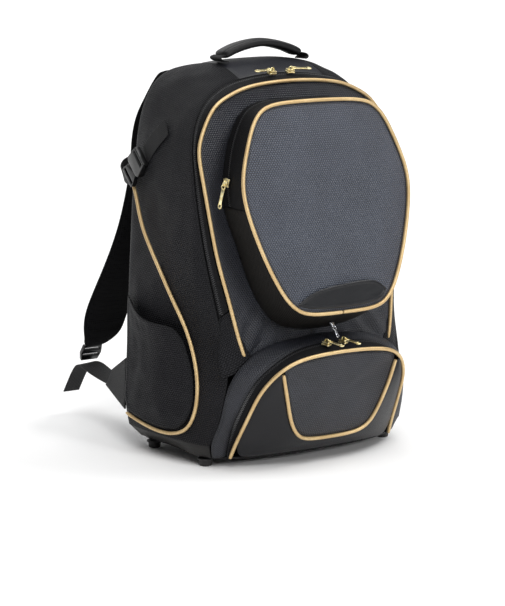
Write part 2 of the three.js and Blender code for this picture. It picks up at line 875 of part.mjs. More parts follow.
const panelFoot = bootFoot[0].z * bodyHeight;
const hiddenTop = frontSeam[0].z * bodyHeight - cornerTrim;
const hiddenRows = [];
for (let i = 0; i <= 4; i += 1) {
  const z = lerp(panelFoot + 2 * seamGap, hiddenTop, i / 4);
  const left = hiddenEnd(z, -1);
  const right = hiddenEnd(z, 1);
  hiddenRows.push([left, left.clone().lerp(right, 0.5), right]);
}
add('lower_front_panel', slab(hiddenRows, clothWall, bodyCore), fabricDark);

// Where the hidden panel ends against the seam of the lower pocket
function hiddenEnd(z, sign) {
  const seam = lowerSeam.slice(0, 6).map(bodyPoint);
  const curve = new THREE.CatmullRomCurve3(seam, false, 'centripetal');
  const end = curve.getPointAt(shareAtHeight(seam, z));
  const inner = Math.min(end.x, bodyPoint(cornerSeam[3]).x);
  return vector(sign * (inner - 4 * clothWall), end.y + 2 * clothWall, z);
}

const baseHalf = [
  ...bootFoot.map(bodyPoint),
  ...[...surroundFoot].reverse().map(lowerPoint),
];
const baseLoop = arch(baseHalf).map((point) => point.setZ(baseClearance + baseThickness));
const baseOutline = inset(along(baseLoop, 36, true), upwards, cornerTrim + clothWall);
add('base_panel', plate(baseOutline, {
  normal: upwards,
  rise: 0,
  thickness: baseThickness,
  rings: 1,
}), leatherette);

// Upper pocket: front, zip band, gusset and piping

const upperSteps = 40;
const upperFrontHalf = upperFrontEdge.map((row) => upperPoint(row, 1));
const upperBackHalf = upperBackEdge.map((row) => {
  const point = upperPoint(row, 0);
  return seated(frontMesh, point, frontways, seamGap);
});
const upperFrontLoop = along(closedArch(upperFrontHalf), upperSteps, true);
const upperLean = vector(0, -upperHeight, upperPoint(upperFrontEdge[15], 1).y
  - upperPoint(upperFrontEdge[0], 1).y).normalize();

// A half outline that starts and ends on the middle plane, with its mirror image after it
function closedArch(half) {
  return [...half, ...mirrorX(half.slice(1, -1)).reverse()];
}

const upperMesh = add('upper_pocket_front', plate(inset(upperFrontLoop, upperLean, edgeTrim), {
  normal: upperLean,
  rise: upperFullness,
  thickness: clothWall,
  rings: 3,
  fullness: 3,
}), fabricSlate);

const pocketCore = middleOf([...upperFrontHalf, ...upperBackHalf]).setX(0);
const upperFrontArch = arch(upperFrontHalf);
const upperBackArch = arch(upperBackHalf);
const zipFrom = shareAtHeight(upperFrontArch, upperZipEnd);
const zipBackFrom = shareAtHeight(upperBackArch, upperZipEnd);
const upperTrims = { firstTrim: seamGap, secondTrim: edgeTrim, core: pocketCore };
const zipBandRows = between(
  stretch(upperBackArch, zipBackFrom, 1 - zipBackFrom, 24),
  stretch(upperFrontArch, zipFrom, 1 - zipFrom, 24),
  { ...upperTrims, bulge: 2 },
);
const upperBandMesh = add('upper_pocket_zip_band', slab(zipBandRows, clothWall, pocketCore), webbing);

const gussetRows = between(
  lowerLoop(upperBackArch, zipBackFrom),
  lowerLoop(upperFrontArch, zipFrom),
  { ...upperTrims, bulge: 3 },
);
gussetRows[0] = nudged(gussetRows[0], vector(0, 0, -2 * seamGap));
gussetRows[gussetRows.length - 1] = nudged(gussetRows[gussetRows.length - 1], vector(0, 0, -2 * seamGap));
const gussetMesh = add('upper_pocket_gusset', slab(gussetRows, clothWall, pocketCore), webbing);

// The lower part of a loop that starts and ends at its lowest point, from the left over the foot
function lowerLoop(loop, share) {
  const rightSide = stretch(loop, 1 - share, 1, 10);
  const leftSide = stretch(loop, 0, share, 10);
  return [...rightSide, ...leftSide.slice(1)];
}

// The cord's two ends meet under the pocket's foot, a hair apart
const archCord = stretch(upperFrontArch, cordGapShare, 1 - cordGapShare, upperSteps);
add('upper_pocket_piping', piping(archCord, upperSteps), goldTrim);

// The blank patch, laid on the foot of the upper pocket's front

const patchRing = along(patchOutline.map((row) => upperPoint(row, 1)), 22, true);
add('patch', laidSheet(patchRing, 2, (point, layer) => (
  seated(upperMesh, point, frontways, 2 * seamGap + layer * patchThickness)
)), leatherette);

// Lower pocket: centre panel, surround, gusset, zip tape and piping

const archSteps = 28;
const cupSteps = 26;
const lowerCore = vector(0, frontY(lowerHeight / 2), lowerHeight / 2);
const archHalf = archEdge.map(lowerPoint);
const tapeHalf = tapeEdge.map(lowerPoint);
const cupHalf = cupEdge.map(lowerPoint);
const cupTopHalf = cupTop.map(lowerPoint);
const centreLoop = along(closedArch([...cupHalf, ...cupTopHalf]), 32, true);
const lowerLean = vector(0, -1, -0.25).normalize();
add('lower_pocket_centre', plate(inset(centreLoop, lowerLean, edgeTrim), {
  normal: lowerLean,
  rise: lowerFullness,
  thickness: clothWall,
  rings: 2,
}), fabricSlate);

const surroundInner = arch([...cupHalf].reverse()).reverse();
const archStations = along(arch(archHalf), archSteps);
const wingTop = cupTop[0].z * lowerHeight;
const rightRim = archStations.slice(archSteps / 2 + 1).reverse().filter((point) => point.z < wingTop);
const surroundRim = arch([...surroundFoot.map(lowerPoint), ...rightRim.slice(1)].reverse()).reverse();
const surroundRows = between(along(surroundInner, cupSteps), along(surroundRim, cupSteps), {
  firstTrim: edgeTrim,
  secondTrim: edgeTrim + 2 * seamGap,
  core: lowerCore,
  bulge: 3,
});
add('lower_pocket_surround', slab(surroundRows, clothWall, lowerCore), leatherette);

const seamArch = arch(lowerSeam.map(bodyPoint));
const tapeArch = arch(tapeHalf);
const lowerGussetRows = between(along(seamArch, 26), along(tapeArch, 26), {
  firstTrim: clothWall + seamGap,
  secondTrim: seamGap / 2,
  core: lowerCore,
  bulge: 3,
});
add('lower_pocket_gusset', slab(lowerGussetRows, clothWall, lowerCore), fabricDark);

const zipTapeRows = between(along(tapeArch, archSteps), archStations, {
  firstTrim: seamGap / 2,
  secondTrim: edgeTrim,
  across: 1,
  core: lowerCore,
});
const tapeMesh = add('lower_pocket_zip_tape', slab(zipTapeRows, clothWall, lowerCore), webbing);
add('lower_arch_piping', piping(arch(archHalf), archSteps), goldTrim);
add('lower_u_piping', piping(surroundInner, cupSteps), goldTrim);

// Side pockets and piping, laid on the side panels by rays from the outside

function onPanel(mesh, sign, y, z, lift) {
  return seated(mesh, vector(sign * halfBody, y, z), vector(sign, 0, 0), lift);
}

const leafSteps = 22;
for (const { name, sign } of sides) {
  const mesh = sideMeshes[name];
  const flat = leafCurve.map((row) => vector(0, row.y * depthAtFloor, row.z * bodyHeight));
  const laid = along(flat, leafSteps).map((point) => (
    onPanel(mesh, sign, point.y, point.z, pipingRadius + 2 * seamGap)
  ));
  add(`side_piping_${name}`, piping(laid, leafSteps), goldTrim);

  const ring = along(pocketOutline.map((row) => (
    vector(0, row.y * depthAtFloor, row.z * bodyHeight)
  )), 24, true);
  add(`side_pocket_${name}`, sidePocket(mesh, sign, ring), fabricDark);
}

// A thin pocket wall that stands off the panel, most at the middle of its mouth
function sidePocket(mesh, sign, ring) {
  const mouth = Math.max(...ring.map((point) => point.z));
  const foot = Math.min(...ring.map((point) => point.z));
  const rearmost = Math.max(...ring.map((point) => point.y));
  const foremost = Math.min(...ring.map((point) => point.y));
  return laidSheet(ring, 3, (point, layer) => {
    const up = THREE.MathUtils.clamp((point.z - foot) / (mouth - foot), 0, 1);
    const across = THREE.MathUtils.clamp((point.y - foremost) / (rearmost - foremost), 0, 1);
    const gape = pocketGape * up * Math.sin(Math.PI * across);
    return onPanel(mesh, sign, point.y, point.z, pocketStandOff + gape + layer * clothWall);
  });
}

// A sheet inside a closed ring, each point of its two faces placed by a function
function laidSheet(ring, rings, place) {
  const centre = middleOf(ring);
  const points = [];
  for (const layer of [1, 0]) {
    for (let k = rings; k > 0; k -= 1) {
      points.push(...ring.map((point) => place(centre.clone().lerp(point, k / rings), layer)));
    }
    points.push(place(centre, layer));
  }
  const count = ring.length;
  const face = rings * count + 1;
  const triangles = [];
  const quad = (a, b, c, d) => triangles.push([a, b, c], [a, c, d]);
  for (let i = 0; i < count; i += 1) {
    const next = (i + 1) % count;
    for (let k = 0; k < rings - 1; k += 1) {
      const [a, b] = [k * count + i, k * count + next];
      quad(a, b, b + count, a + count);
      quad(a + face, a + count + face, b + count + face, b + face);
    }
    const inner = (rings - 1) * count;
    triangles.push([inner + i, inner + next, face - 1]);
    triangles.push([inner + next + face, inner + i + face, 2 * face - 1]);
    quad(i, i + face, next + face, next);
  }
  return solidFrom(points, triangles);
}

// Feet under the base panel

for (const { name, sign } of sides) {
  for (const place of [{ end: 'front', y: footFrontY }, { end: 'rear', y: footRearY }]) {
    const radius = footDiameter / 2;
    const top = baseClearance - seamGap;
    const profile = [
      [0, 0], [radius * 0.82, 0], [radius * 0.94, top * 0.12], [radius, top * 0.75],
      [radius * 1.25, top * 0.8], [radius * 1.25, top], [0, top],
    ].map(([x, y]) => new THREE.Vector2(x, y));
    const foot = new THREE.LatheGeometry(profile, 10);
    foot.rotateX(Math.PI / 2);
    foot.translate((sign * footSpacingX) / 2, place.y, 0);
    add(`foot_${place.end}_${name}`, cleaned(foot), plastic);
  }
}

// Shoulder straps, ladder locks, webbing and wings

function strapPoint(row, sign) {
  return vector(sign * row.x * halfBody, backY + row.back * strapReach, row.z * bodyHeight);
}

for (const { name, sign } of sides) {
  const path = strapRows.map((row) => strapPoint(row, sign));
  const seat = seated(backMesh, path[0], backways, seamGap + padThickness / 2);
  path[0] = seat;
  const widths = strapRows.map((row) => row.width * padWidth);
  add(`shoulder_pad_${name}`, paddedBand(path, widths, padThickness, vector(1, 0, 0)), webbing);

  const onEdge = vector(0, 0.58, -0.81);
  const flat = vector(sign, 0, 0);
  const tail = tailRows.map((row) => strapPoint(row, sign));
  const turns = tailRows.map((row) => flat.clone().lerp(onEdge, row.turn));
  add(`strap_webbing_${name}`, ribbon(tail, turns, webbingWidth, webbingThickness), webbing);

  const [rootTop, rootFoot] = wingRoots.map((share) => {
    const edge = new THREE.CatmullRomCurve3(rearPoints, false, 'centripetal');
    return edge.getPointAt(shareAtHeight(rearPoints, share * bodyHeight));
  });
  const tip = tail[0].clone().lerp(tail[1], -0.02);
  const half = onEdge.clone().multiplyScalar(webbingWidth * 0.6);
  const lift = vector(-clothWall / 2, 2 * seamGap, 0);
  const wing = [
    onSide([rootTop.add(lift), rootFoot.add(lift)], sign),
    [tip.clone().sub(half), tip.clone().add(half)],
  ];
  add(`strap_wing_${name}`, slab(wing, clothWall), fabricDark);
}

// Carrying handle: a padded grip between two folded webbing ends

const gripPath = gripRows.map((row) => vector(
  (row.along * handleSpan) / 2,
  handleY,
  bodyHeight + row.rise * handleRise - gripThickness / 2,
));
const gripWidths = gripRows.map(() => gripWidth);
add('handle_grip', paddedBand(gripPath, gripWidths, gripThickness, backways), leatherette);

const gripEnd = gripPath[gripPath.length - 1];
const crownZ = bodyHeight;
const handleSeat = topFront[0].x * halfBody - clothWall;
for (const { name, sign } of sides) {
  const fold = endRows.map((row) => {
    const x = sign * (gripEnd.x + row.out * gripWidth);
    const y = gripEnd.y - row.front * gripWidth;
    const reach = corners(vector(0, 0, 0), vector(0, gripWidth / 2, 0));
    const spot = vector(sign * handleSeat, y, crownZ);
    const top = seatedOver(topMesh, spot, reach, upwards, webbingThickness / 2 + seamGap);
    return vector(x, y, lerp(top.z, gripEnd.z, row.rise));
  });
  add(`handle_end_${name}`, ribbon(fold, backways, gripWidth, webbingThickness), webbing);
}

// Compression webbing, buckle and the loop to the shoulder strap

for (const { name, sign } of sides) {
  const mesh = sideMeshes[name];
  const centres = compressionRows.map((row) => vector(0, row.y * depthAtFloor, row.z * bodyHeight));
  const run = centres[centres.length - 1].clone().sub(centres[0]).normalize();
  const acrossRun = vector(0, -run.z, run.y);
  const lift = webbingThickness / 2 + 2 * seamGap;
  const bandRowsOnSide = along(centres, 4).map((centre) => [-1, 0, 1].map((place) => {
    const point = centre.clone().addScaledVector(acrossRun, (place * webbingWidth) / 2);
    return onPanel(mesh, sign, point.y, point.z, lift);
  }));
  add(`compression_webbing_${name}`, slab(bandRowsOnSide, webbingThickness), webbing);

  const outwards = vector(sign, 0, 0);
  const middle = centres[centres.length - 1].clone().addScaledVector(run, buckleLength / 2 + 2 * seamGap);
  middle.x = sign * halfBody;
  const halfLength = run.clone().multiplyScalar(buckleLength / 2);
  const reach = corners(halfLength, acrossRun.clone().multiplyScalar(buckleWidth / 2));
  const buckleSeat = seatedOver(mesh, middle, reach, outwards, seamGap + buckleThickness / 2);
  const frame = (share) => ({
    at: buckleSeat.clone().addScaledVector(run, (share - 0.5) * buckleLength),
    along: run,
    up: outwards,
  });
  const half = buckleWidth / 2;
  const socketLength = 0.56 * buckleLength;
  const plugLength = 0.42 * buckleLength;
  const socket = [
    [-socketLength / 2, -half * 0.86], [socketLength * 0.36, -half], [socketLength / 2, -half * 0.7],
    [socketLength / 2, half * 0.7], [socketLength * 0.36, half], [-socketLength / 2, half * 0.86],
  ];
  const slot = webbingWidth / 2;
  const socketSlot = rectangle(-socketLength * 0.36, -slot, -socketLength * 0.22, slot);
  add(`buckle_socket_${name}`, flatPiece(socket, [socketSlot], buckleThickness, frame(0.28)), plastic);
  const plug = [
    [-plugLength / 2, -half * 0.6], [plugLength * 0.3, -half * 0.9], [plugLength / 2, -half * 0.84],
    [plugLength / 2, half * 0.84], [plugLength * 0.3, half * 0.9], [-plugLength / 2, half * 0.6],
  ];
  const plugSlot = rectangle(plugLength * 0.08, -slot, plugLength * 0.3, slot);
  const plugFrame = frame(0.79);
  add(`buckle_plug_${name}`, flatPiece(plug, [plugSlot], buckleThickness * 0.7, plugFrame), plastic);

  const from = plugFrame.at.clone().addScaledVector(run, plugLength / 2 + 2 * seamGap);
  const padEdge = strapPoint(strapRows[7], sign);
  padEdge.x += sign * (padWidth / 2 + webbingThickness + 2 * seamGap);
  const loop = loopRows.map((row) => vector(
    lerp(from.x, padEdge.x, row.in),
    lerp(from.y, padEdge.y, row.back),
    lerp(from.z, padEdge.z, row.back),
  ));
  const loopTurns = loopRows.map((row) => acrossRun.clone().lerp(upwards, row.back));
  add(`buckle_loop_${name}`, ribbon(loop, loopTurns, loopWidth, webbingThickness), webbing);

  const lockDirection = vector(0, lockRun.back, -lockRun.drop).normalize();
  const lockSlot = webbingWidth / 2;
  const lock = [
    [-lockLength / 2, -lockWidth * 0.44], [0, -lockWidth / 2], [lockLength / 2, -lockWidth * 0.4],
    [lockLength / 2, lockWidth * 0.4], [0, lockWidth / 2], [-lockLength / 2, lockWidth * 0.44],
  ];
  const lockHoles = [{ from: -0.34, spare: 0 }, { from: 0.06, spare: 0.6 }].map((row) => {
    const end = lockSlot + row.spare;
    return rectangle(lockLength * row.from, -end, lockLength * (row.from + 0.16), end);
  });
  const padEnd = strapPoint(strapRows[strapRows.length - 1], sign);
  const lockAt = padEnd.clone().addScaledVector(lockDirection, lockLength / 2 + 4 * seamGap);
  lockAt.x += sign * seamGap;
  add(`ladder_lock_${name}`, flatPiece(lock, lockHoles, lockThickness, {
    at: lockAt,
    along: lockDirection,
    up: vector(0, -lockRun.drop, -lockRun.back),
  }), plastic);
}

// Zip sliders, each with its pull

function zipSlider(name, options) {
  const { mesh, near, outwards, pull, length, look = brass } = options;
  const up = outwards.clone().normalize();
  const direction = pull.clone().normalize();
  const level = direction.clone().addScaledVector(up, -direction.dot(up)).normalize();
  const reach = corners(
    level.clone().multiplyScalar(sliderLength / 2),
    up.clone().cross(level).multiplyScalar(sliderWidth / 2),
  );
  const seat = seatedOver(mesh, near, reach, up, seamGap + sliderHeight / 2);
  const body = flatPiece(
    rectangle(-sliderLength / 2, -sliderWidth / 2, sliderLength / 2, sliderWidth / 2),
    [],
    sliderHeight,
    { at: seat, along: level, up },
  );
  const half = pullWidth / 2;
  const tab = [
    [-length / 2, -half * 0.7], [length * 0.25, -half], [length * 0.42, -half], [length / 2, -half * 0.3],
    [length / 2, half * 0.3], [length * 0.42, half], [length * 0.25, half], [-length / 2, half * 0.7],
  ];
  const hole = rectangle(
    length * 0.34 - pullHole / 2,
    -pullHole / 2,
    length * 0.34 + pullHole / 2,
    pullHole / 2,
  );
  const tabAt = seat.clone().addScaledVector(direction, length / 2).addScaledVector(up, sliderHeight * 0.3);
  const facing = up.clone().addScaledVector(direction, -up.dot(direction));
  const tabPiece = flatPiece(tab, [hole], pullThickness, { at: tabAt, along: direction, up: facing });
  add(name, fused([body, tabPiece]), look);
}

const bandMiddle = stripRows[seamSteps / 2][1];
for (const { name, x, pullX } of mainSliderRows) {
  zipSlider(`main_slider_${name}`, {
    mesh: bandMesh,
    near: vector(x * halfBody, bandMiddle.y, bandMiddle.z),
    outwards: upwards,
    pull: vector(pullX, -0.15, -0.08),
    length: mainPullLength,
  });
}
const upperSeat = upperPoint({ x: -1, z: 0.63 }, 0.42);
zipSlider('upper_pocket_slider', {
  mesh: upperBandMesh,
  near: upperSeat,
  outwards: vector(-1, 0, 0),
  pull: vector(-0.05, 0.2, -1),
  length: mainPullLength,
});
for (const { name, x } of lowerSliderRows) {
  zipSlider(`lower_pocket_slider_${name}`, {
    mesh: tapeMesh,
    near: lowerPoint({ x, out: 0.8, z: 1 }),
    outwards: upwards,
    pull: vector(0.3, -0.9, -0.2),
    length: lowerPullLength,
  });
}
zipSlider('silver_pull', {
  mesh: gussetMesh,
  near: upperPoint({ x: 0, z: 0 }, 0.72),
  outwards: vector(0, 0, -1),
  pull: vector(0.05, -0.25, -1),
  length: silverPullLength,
  look: silver,
});

// The origin lies under the middle of the whole backpack, on the floor
const overall = new THREE.Box3().setFromObject(model);
const origin = overall.getCenter(vector(0, 0, 0)).setZ(overall.min.z);
model.children.forEach((mesh) => mesh.geometry.translate(-origin.x, -origin.y, -origin.z));

export default model;
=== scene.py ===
import bpy
import bmesh
import json
import math
import numpy as np
from mathutils import Matrix, Vector, noise
from mathutils.bvhtree import BVHTree
from mathutils.geometry import barycentric_transform
from mathutils.kdtree import KDTree

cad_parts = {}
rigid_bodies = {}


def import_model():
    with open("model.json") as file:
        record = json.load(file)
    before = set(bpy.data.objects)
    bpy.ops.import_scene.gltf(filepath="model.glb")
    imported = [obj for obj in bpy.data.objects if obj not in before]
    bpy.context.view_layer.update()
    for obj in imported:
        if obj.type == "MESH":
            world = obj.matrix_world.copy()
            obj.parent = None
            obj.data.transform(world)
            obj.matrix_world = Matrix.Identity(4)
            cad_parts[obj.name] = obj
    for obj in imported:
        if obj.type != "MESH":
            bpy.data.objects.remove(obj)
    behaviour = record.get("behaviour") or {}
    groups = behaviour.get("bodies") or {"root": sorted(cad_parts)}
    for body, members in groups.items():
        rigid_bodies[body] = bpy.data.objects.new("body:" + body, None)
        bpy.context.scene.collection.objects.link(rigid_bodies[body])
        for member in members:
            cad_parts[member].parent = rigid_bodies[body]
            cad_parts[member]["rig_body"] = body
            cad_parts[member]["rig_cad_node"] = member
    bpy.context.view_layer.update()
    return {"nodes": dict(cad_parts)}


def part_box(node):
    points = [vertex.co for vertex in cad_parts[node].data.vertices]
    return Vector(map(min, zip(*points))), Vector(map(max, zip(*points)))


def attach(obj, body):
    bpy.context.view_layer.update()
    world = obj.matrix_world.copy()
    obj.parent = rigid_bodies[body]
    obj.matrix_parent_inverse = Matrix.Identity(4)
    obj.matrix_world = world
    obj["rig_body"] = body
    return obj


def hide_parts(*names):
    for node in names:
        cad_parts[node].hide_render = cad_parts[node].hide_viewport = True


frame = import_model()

# Baseball bat backpack: cloth panels, gold piping, zips, straps and fittings, in metres
sides = ("left", "right")
bagCore = Vector((0, -0.075, 0.23))  # a point inside the bag
wallSize = 0.0024  # the CAD's cloth wall


# Selecting and editing

def only(*pieces):
    bpy.ops.object.select_all(action="DESELECT")
    for piece in pieces:
        piece.select_set(True)
    bpy.context.view_layer.objects.active = pieces[0]


def edit(piece, mode="FACE"):
    only(piece)
    bpy.ops.object.mode_set(mode="EDIT")
    bpy.ops.mesh.select_mode(type=mode)
    bpy.ops.mesh.select_all(action="DESELECT")
    return bmesh.from_edit_mesh(piece.data)


def pick(mesh, parts):
    for part in parts:
        part.select_set(True)
    mesh.select_flush_mode()


def done():
    bpy.ops.object.mode_set(mode="OBJECT")
    return bpy.context.object


def shape(piece, kind, **settings):
    only(piece)
    modifier = piece.modifiers.new(kind.title(), kind)
    for key, value in settings.items():
        setattr(modifier, key, value)
    bpy.ops.object.modifier_apply(modifier=modifier.name)


def soften(piece, width, segments, angle):
    # Rounds the edges that are sharper than the angle, in degrees
    sharp = {"limit_method": "ANGLE", "angle_limit": math.radians(angle)}
    shape(piece, "BEVEL", width=width, segments=segments, **sharp)


def smoother(piece, levels, **settings):
    shape(piece, "SUBSURF", levels=levels, render_levels=levels, **settings)


def copyOf(node, title):
    # A CAD node's own copy, merged and made of four-sided faces again
    only(frame["nodes"][node])
    bpy.ops.object.duplicate()
    piece = bpy.context.object
    piece.parent = None
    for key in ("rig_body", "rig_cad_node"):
        if key in piece:
            del piece[key]
    piece.name = title
    piece.data.name = title
    piece.data.materials.clear()
    edit(piece)
    bpy.ops.mesh.select_all(action="SELECT")
    bpy.ops.mesh.remove_doubles(threshold=0.00002)
    turn = {"face_threshold": math.pi, "shape_threshold": math.pi, "topology_influence": 2.0}
    bpy.ops.mesh.tris_convert_to_quads(**turn)
    return done()


def settle(piece, slot, material, *nodes, angle=40):
    only(piece)
    bpy.ops.object.shade_smooth_by_angle(angle=math.radians(angle))
    piece.data.materials.clear()
    piece.data.materials.append(material)
    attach(piece, "root")
    if nodes:
        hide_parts(*nodes)
    return piece


def coordsOf(piece):
    points = np.empty(len(piece.data.vertices) * 3)
    piece.data.vertices.foreach_get("co", points)
    return points.reshape(-1, 3)


def normalsOf(piece):
    normals = np.empty(len(piece.data.vertices) * 3)
    piece.data.vertices.foreach_get("normal", normals)
    return normals.reshape(-1, 3)


def putCoords(piece, points):
    piece.data.vertices.foreach_set("co", points.reshape(-1))
    piece.data.update()


def ramp(value, low, high):
    share = np.clip((value - low) / (high - low), 0, 1)
    return share * share * (3 - 2 * share)


def cornersOf(piece):
    # The vertex number of each face corner
    corners = np.empty(len(piece.data.loops), int)
    piece.data.loops.foreach_get("vertex_index", corners)
    return corners


def nameMap(piece):
    if not piece.data.uv_layers:
        piece.data.uv_layers.new(name="UVMap")
    piece.data.uv_layers[0].name = "UVMap"


def crumple(points, size, seed):
    # Smooth wrinkles between -1 and 1, the same on every run
    shift = Vector((seed * 7.3, seed * 3.1, seed * 5.7))
    return np.array([noise.noise(Vector(p) / size + shift) for p in points])


# Cloth sheets made from the CAD's thin walls

rimSpread = 0.04  # how far a rim's edge may be from the wall, as a share of it


def outerSheet(piece, wall=wallSize):
    # Drops the rim and the inner layer, and keeps the outer one
    mesh = edit(piece)
    rim = []
    for face in mesh.faces:
        across = [e for e in face.edges if abs(e.calc_length() - wall) < rimSpread * wall]
        if len(across) >= 2:
            rim.append(face)
    pick(mesh, rim)
    bpy.ops.mesh.delete(type="FACE")
    mesh = bmesh.from_edit_mesh(piece.data)
    mesh.faces.ensure_lookup_table()
    groups = []
    seen = set()
    for start in mesh.faces:
        if start.index in seen:
            continue
        group = []
        queue = [start]
        seen.add(start.index)
        while queue:
            face = queue.pop()
            group.append(face)
            for edge in face.edges:
                for other in edge.link_faces:
                    if other.index not in seen:
                        seen.add(other.index)
                        queue.append(other)
        groups.append(group)

    def outwards(group):
        return sum(f.calc_area() * f.normal.dot(f.calc_center_median() - bagCore) for f in group)

    best = max(groups, key=outwards)
    pick(mesh, [f for group in groups if group is not best for f in group])
    bpy.ops.mesh.delete(type="VERT")
    return done()


def rimLoops(piece):
    # The open edge as ordered lists of vertex numbers, the longest first
    mesh = bmesh.new()
    mesh.from_mesh(piece.data)
    mesh.verts.ensure_lookup_table()
    joined = {}
    for e in [e for e in mesh.edges if e.is_boundary]:
        a, b = e.verts[0].index, e.verts[1].index
        joined.setdefault(a, []).append(b)
        joined.setdefault(b, []).append(a)
    loops = []
    waiting = set(joined)
    while waiting:
        start = min(waiting)
        loop = [start]
        waiting.discard(start)
        while True:
            ahead = [n for n in joined[loop[-1]] if n in waiting]
            if not ahead:
                break
            loop.append(ahead[0])
            waiting.discard(ahead[0])
        loops.append(loop)
    mesh.free()
    return sorted(loops, key=len, reverse=True)


def refill(piece, span):
    # A plate's outline filled again with an even grid
    mesh = edit(piece, "VERT")
    inner = [v for v in mesh.verts if not v.is_boundary]
    pick(mesh, inner)
    bpy.ops.mesh.delete(type="VERT")
    bpy.ops.mesh.select_mode(type="EDGE")
    mesh = bmesh.from_edit_mesh(piece.data)
    if len(mesh.edges) % 2:
        bpy.ops.mesh.select_all(action="DESELECT")
        pick(mesh, [max(mesh.edges, key=lambda e: e.calc_length())])
        bpy.ops.mesh.subdivide()
    bpy.ops.mesh.select_all(action="SELECT")
    bpy.ops.mesh.fill_grid(span=span)
    return done()


def unwrap(piece, upwards=False):
    # The map is in metres: u runs along a strip (or v runs up a panel)
    nameMap(piece)
    mesh = edit(piece)
    layer = mesh.loops.layers.uv.verify()
    for face in mesh.faces:
        for loop in face.loops:
            loop[layer].select = True
            loop[layer].select_edge = True
    middle = sum((f.calc_center_median() for f in mesh.faces), Vector()) / len(mesh.faces)
    squares = [f for f in mesh.faces if len(f.verts) == 4]
    base = min(squares, key=lambda f: (f.calc_center_median() - middle).length)
    a, b, c, d = base.loops
    wide = (a.edge.calc_length() + c.edge.calc_length()) / 2
    tall = (b.edge.calc_length() + d.edge.calc_length()) / 2
    for loop, spot in zip((a, b, c, d), ((0, 0), (wide, 0), (wide, tall), (0, tall))):
        loop[layer].uv = spot
    pick(mesh, mesh.faces)
    mesh.faces.active = base
    bmesh.update_edit_mesh(piece.data)
    bpy.ops.uv.follow_active_quads(mode="LENGTH_AVERAGE")
    done()
    flat = uvOf(piece)
    points = coordsOf(piece)
    loops = cornersOf(piece)
    height = points[loops, 2]
    if upwards:
        swap = abs(np.corrcoef(flat[:, 0], height)[0, 1]) > abs(np.corrcoef(flat[:, 1], height)[0, 1])
    else:
        swap = np.ptp(flat[:, 1]) > np.ptp(flat[:, 0])
    if swap:
        flat = np.stack((flat[:, 1], -flat[:, 0]), axis=1)
    if upwards and np.corrcoef(flat[:, 1], height)[0, 1] < 0:
        flat = -flat
    flat -= flat.min(axis=0)
    piece.data.uv_layers[0].data.foreach_set("uv", flat.reshape(-1))
    return flat.max(axis=0)


def project(piece, across=0, up=2):
    # A nearly flat plate's map, straight from its place
    nameMap(piece)
    loops = cornersOf(piece)
    flat = coordsOf(piece)[loops][:, (across, up)]
    piece.data.uv_layers[0].data.foreach_set("uv", flat.reshape(-1))


def uvOf(piece):
    flat = np.empty(len(piece.data.loops) * 2)
    piece.data.uv_layers[0].data.foreach_get("uv", flat)
    return flat.reshape(-1, 2)


edgeStep = 0.001  # between the marks laid along an edge


def markEdges(piece):
    # Keeps each point's distance from the sheet's edge, and its place along that edge
    points = coordsOf(piece)
    spots = []
    for loop in rimLoops(piece):
        travelled = 0
        for i, number in enumerate(loop):
            here, there = points[number], points[loop[(i + 1) % len(loop)]]
            length = np.linalg.norm(there - here)
            steps = max(1, int(length / edgeStep))
            for k in range(steps):
                spots.append((here + (there - here) * k / steps, travelled + length * k / steps))
            travelled += length
    tree = KDTree(len(spots))
    for i, (spot, _) in enumerate(spots):
        tree.insert(spot, i)
    tree.balance()
    near = [tree.find(p) for p in points]
    fromEdge = np.array([n[2] for n in near])
    alongEdge = np.array([spots[n[1]][1] for n in near])
    for name, values in (("fromEdge", fromEdge), ("alongEdge", alongEdge)):
        attribute = piece.data.attributes.new(name, "FLOAT", "POINT")
        attribute.data.foreach_set("value", values)
    return fromEdge


def rise(piece, amount):
    putCoords(piece, coordsOf(piece) + normalsOf(piece) * np.asarray(amount)[:, None])


footHeights = (0.15, 0.175)  # the foot's widening fades between these


def widen(piece, grow, lowGrow=None):
    # Pushes a sheet's open edge outwards, so that it meets its neighbour, further at its foot
    points = coordsOf(piece)
    normals = normalsOf(piece)
    for loop in rimLoops(piece):
        ring = points[loop]
        ahead = np.roll(ring, -1, axis=0) - np.roll(ring, 1, axis=0)
        out = np.cross(ahead, normals[loop])
        out /= np.maximum(np.linalg.norm(out, axis=1), 1e-9)[:, None]
        middle = ring.mean(axis=0)
        if ((ring - middle) * out).sum() < 0:
            out = -out
        if lowGrow is None:
            reach = grow
        else:
            foot = 1 - ramp(ring[:, 2], *footHeights)
            reach = (grow + (lowGrow - grow) * foot)[:, None]
        points[loop] = ring + out * reach
    putCoords(piece, points)


def thicken(piece, wall=wallSize, soft=0.0006):
    shape(piece, "SOLIDIFY", thickness=wall, offset=-1)
    if soft:
        soften(piece, soft, 2, 50)


def uvSurface(piece):
    # Finds the point and normal of a sheet at a place in its map
    mesh = piece.data
    mesh.calc_loop_triangles()
    flat = uvOf(piece)
    points = coordsOf(piece)
    normals = normalsOf(piece)
    corners = []
    triangles = []
    source = []
    for triangle in mesh.loop_triangles:
        start = len(corners)
        corners += [Vector((*flat[i], 0)) for i in triangle.loops]
        triangles.append((start, start + 1, start + 2))
        source.append(tuple(triangle.vertices))
    tree = BVHTree.FromPolygons(corners, triangles)

    def find(u, v):
        spot, _, index, _ = tree.find_nearest(Vector((u, v, 0)))
        a, b, c = corners[3 * index:3 * index + 3]
        place = barycentric_transform(spot, a, b, c, *[Vector(points[i]) for i in source[index]])
        way = barycentric_transform(spot, a, b, c, *[Vector(normals[i]) for i in source[index]])
        return place, way.normalized()

    return find


# Shader maths

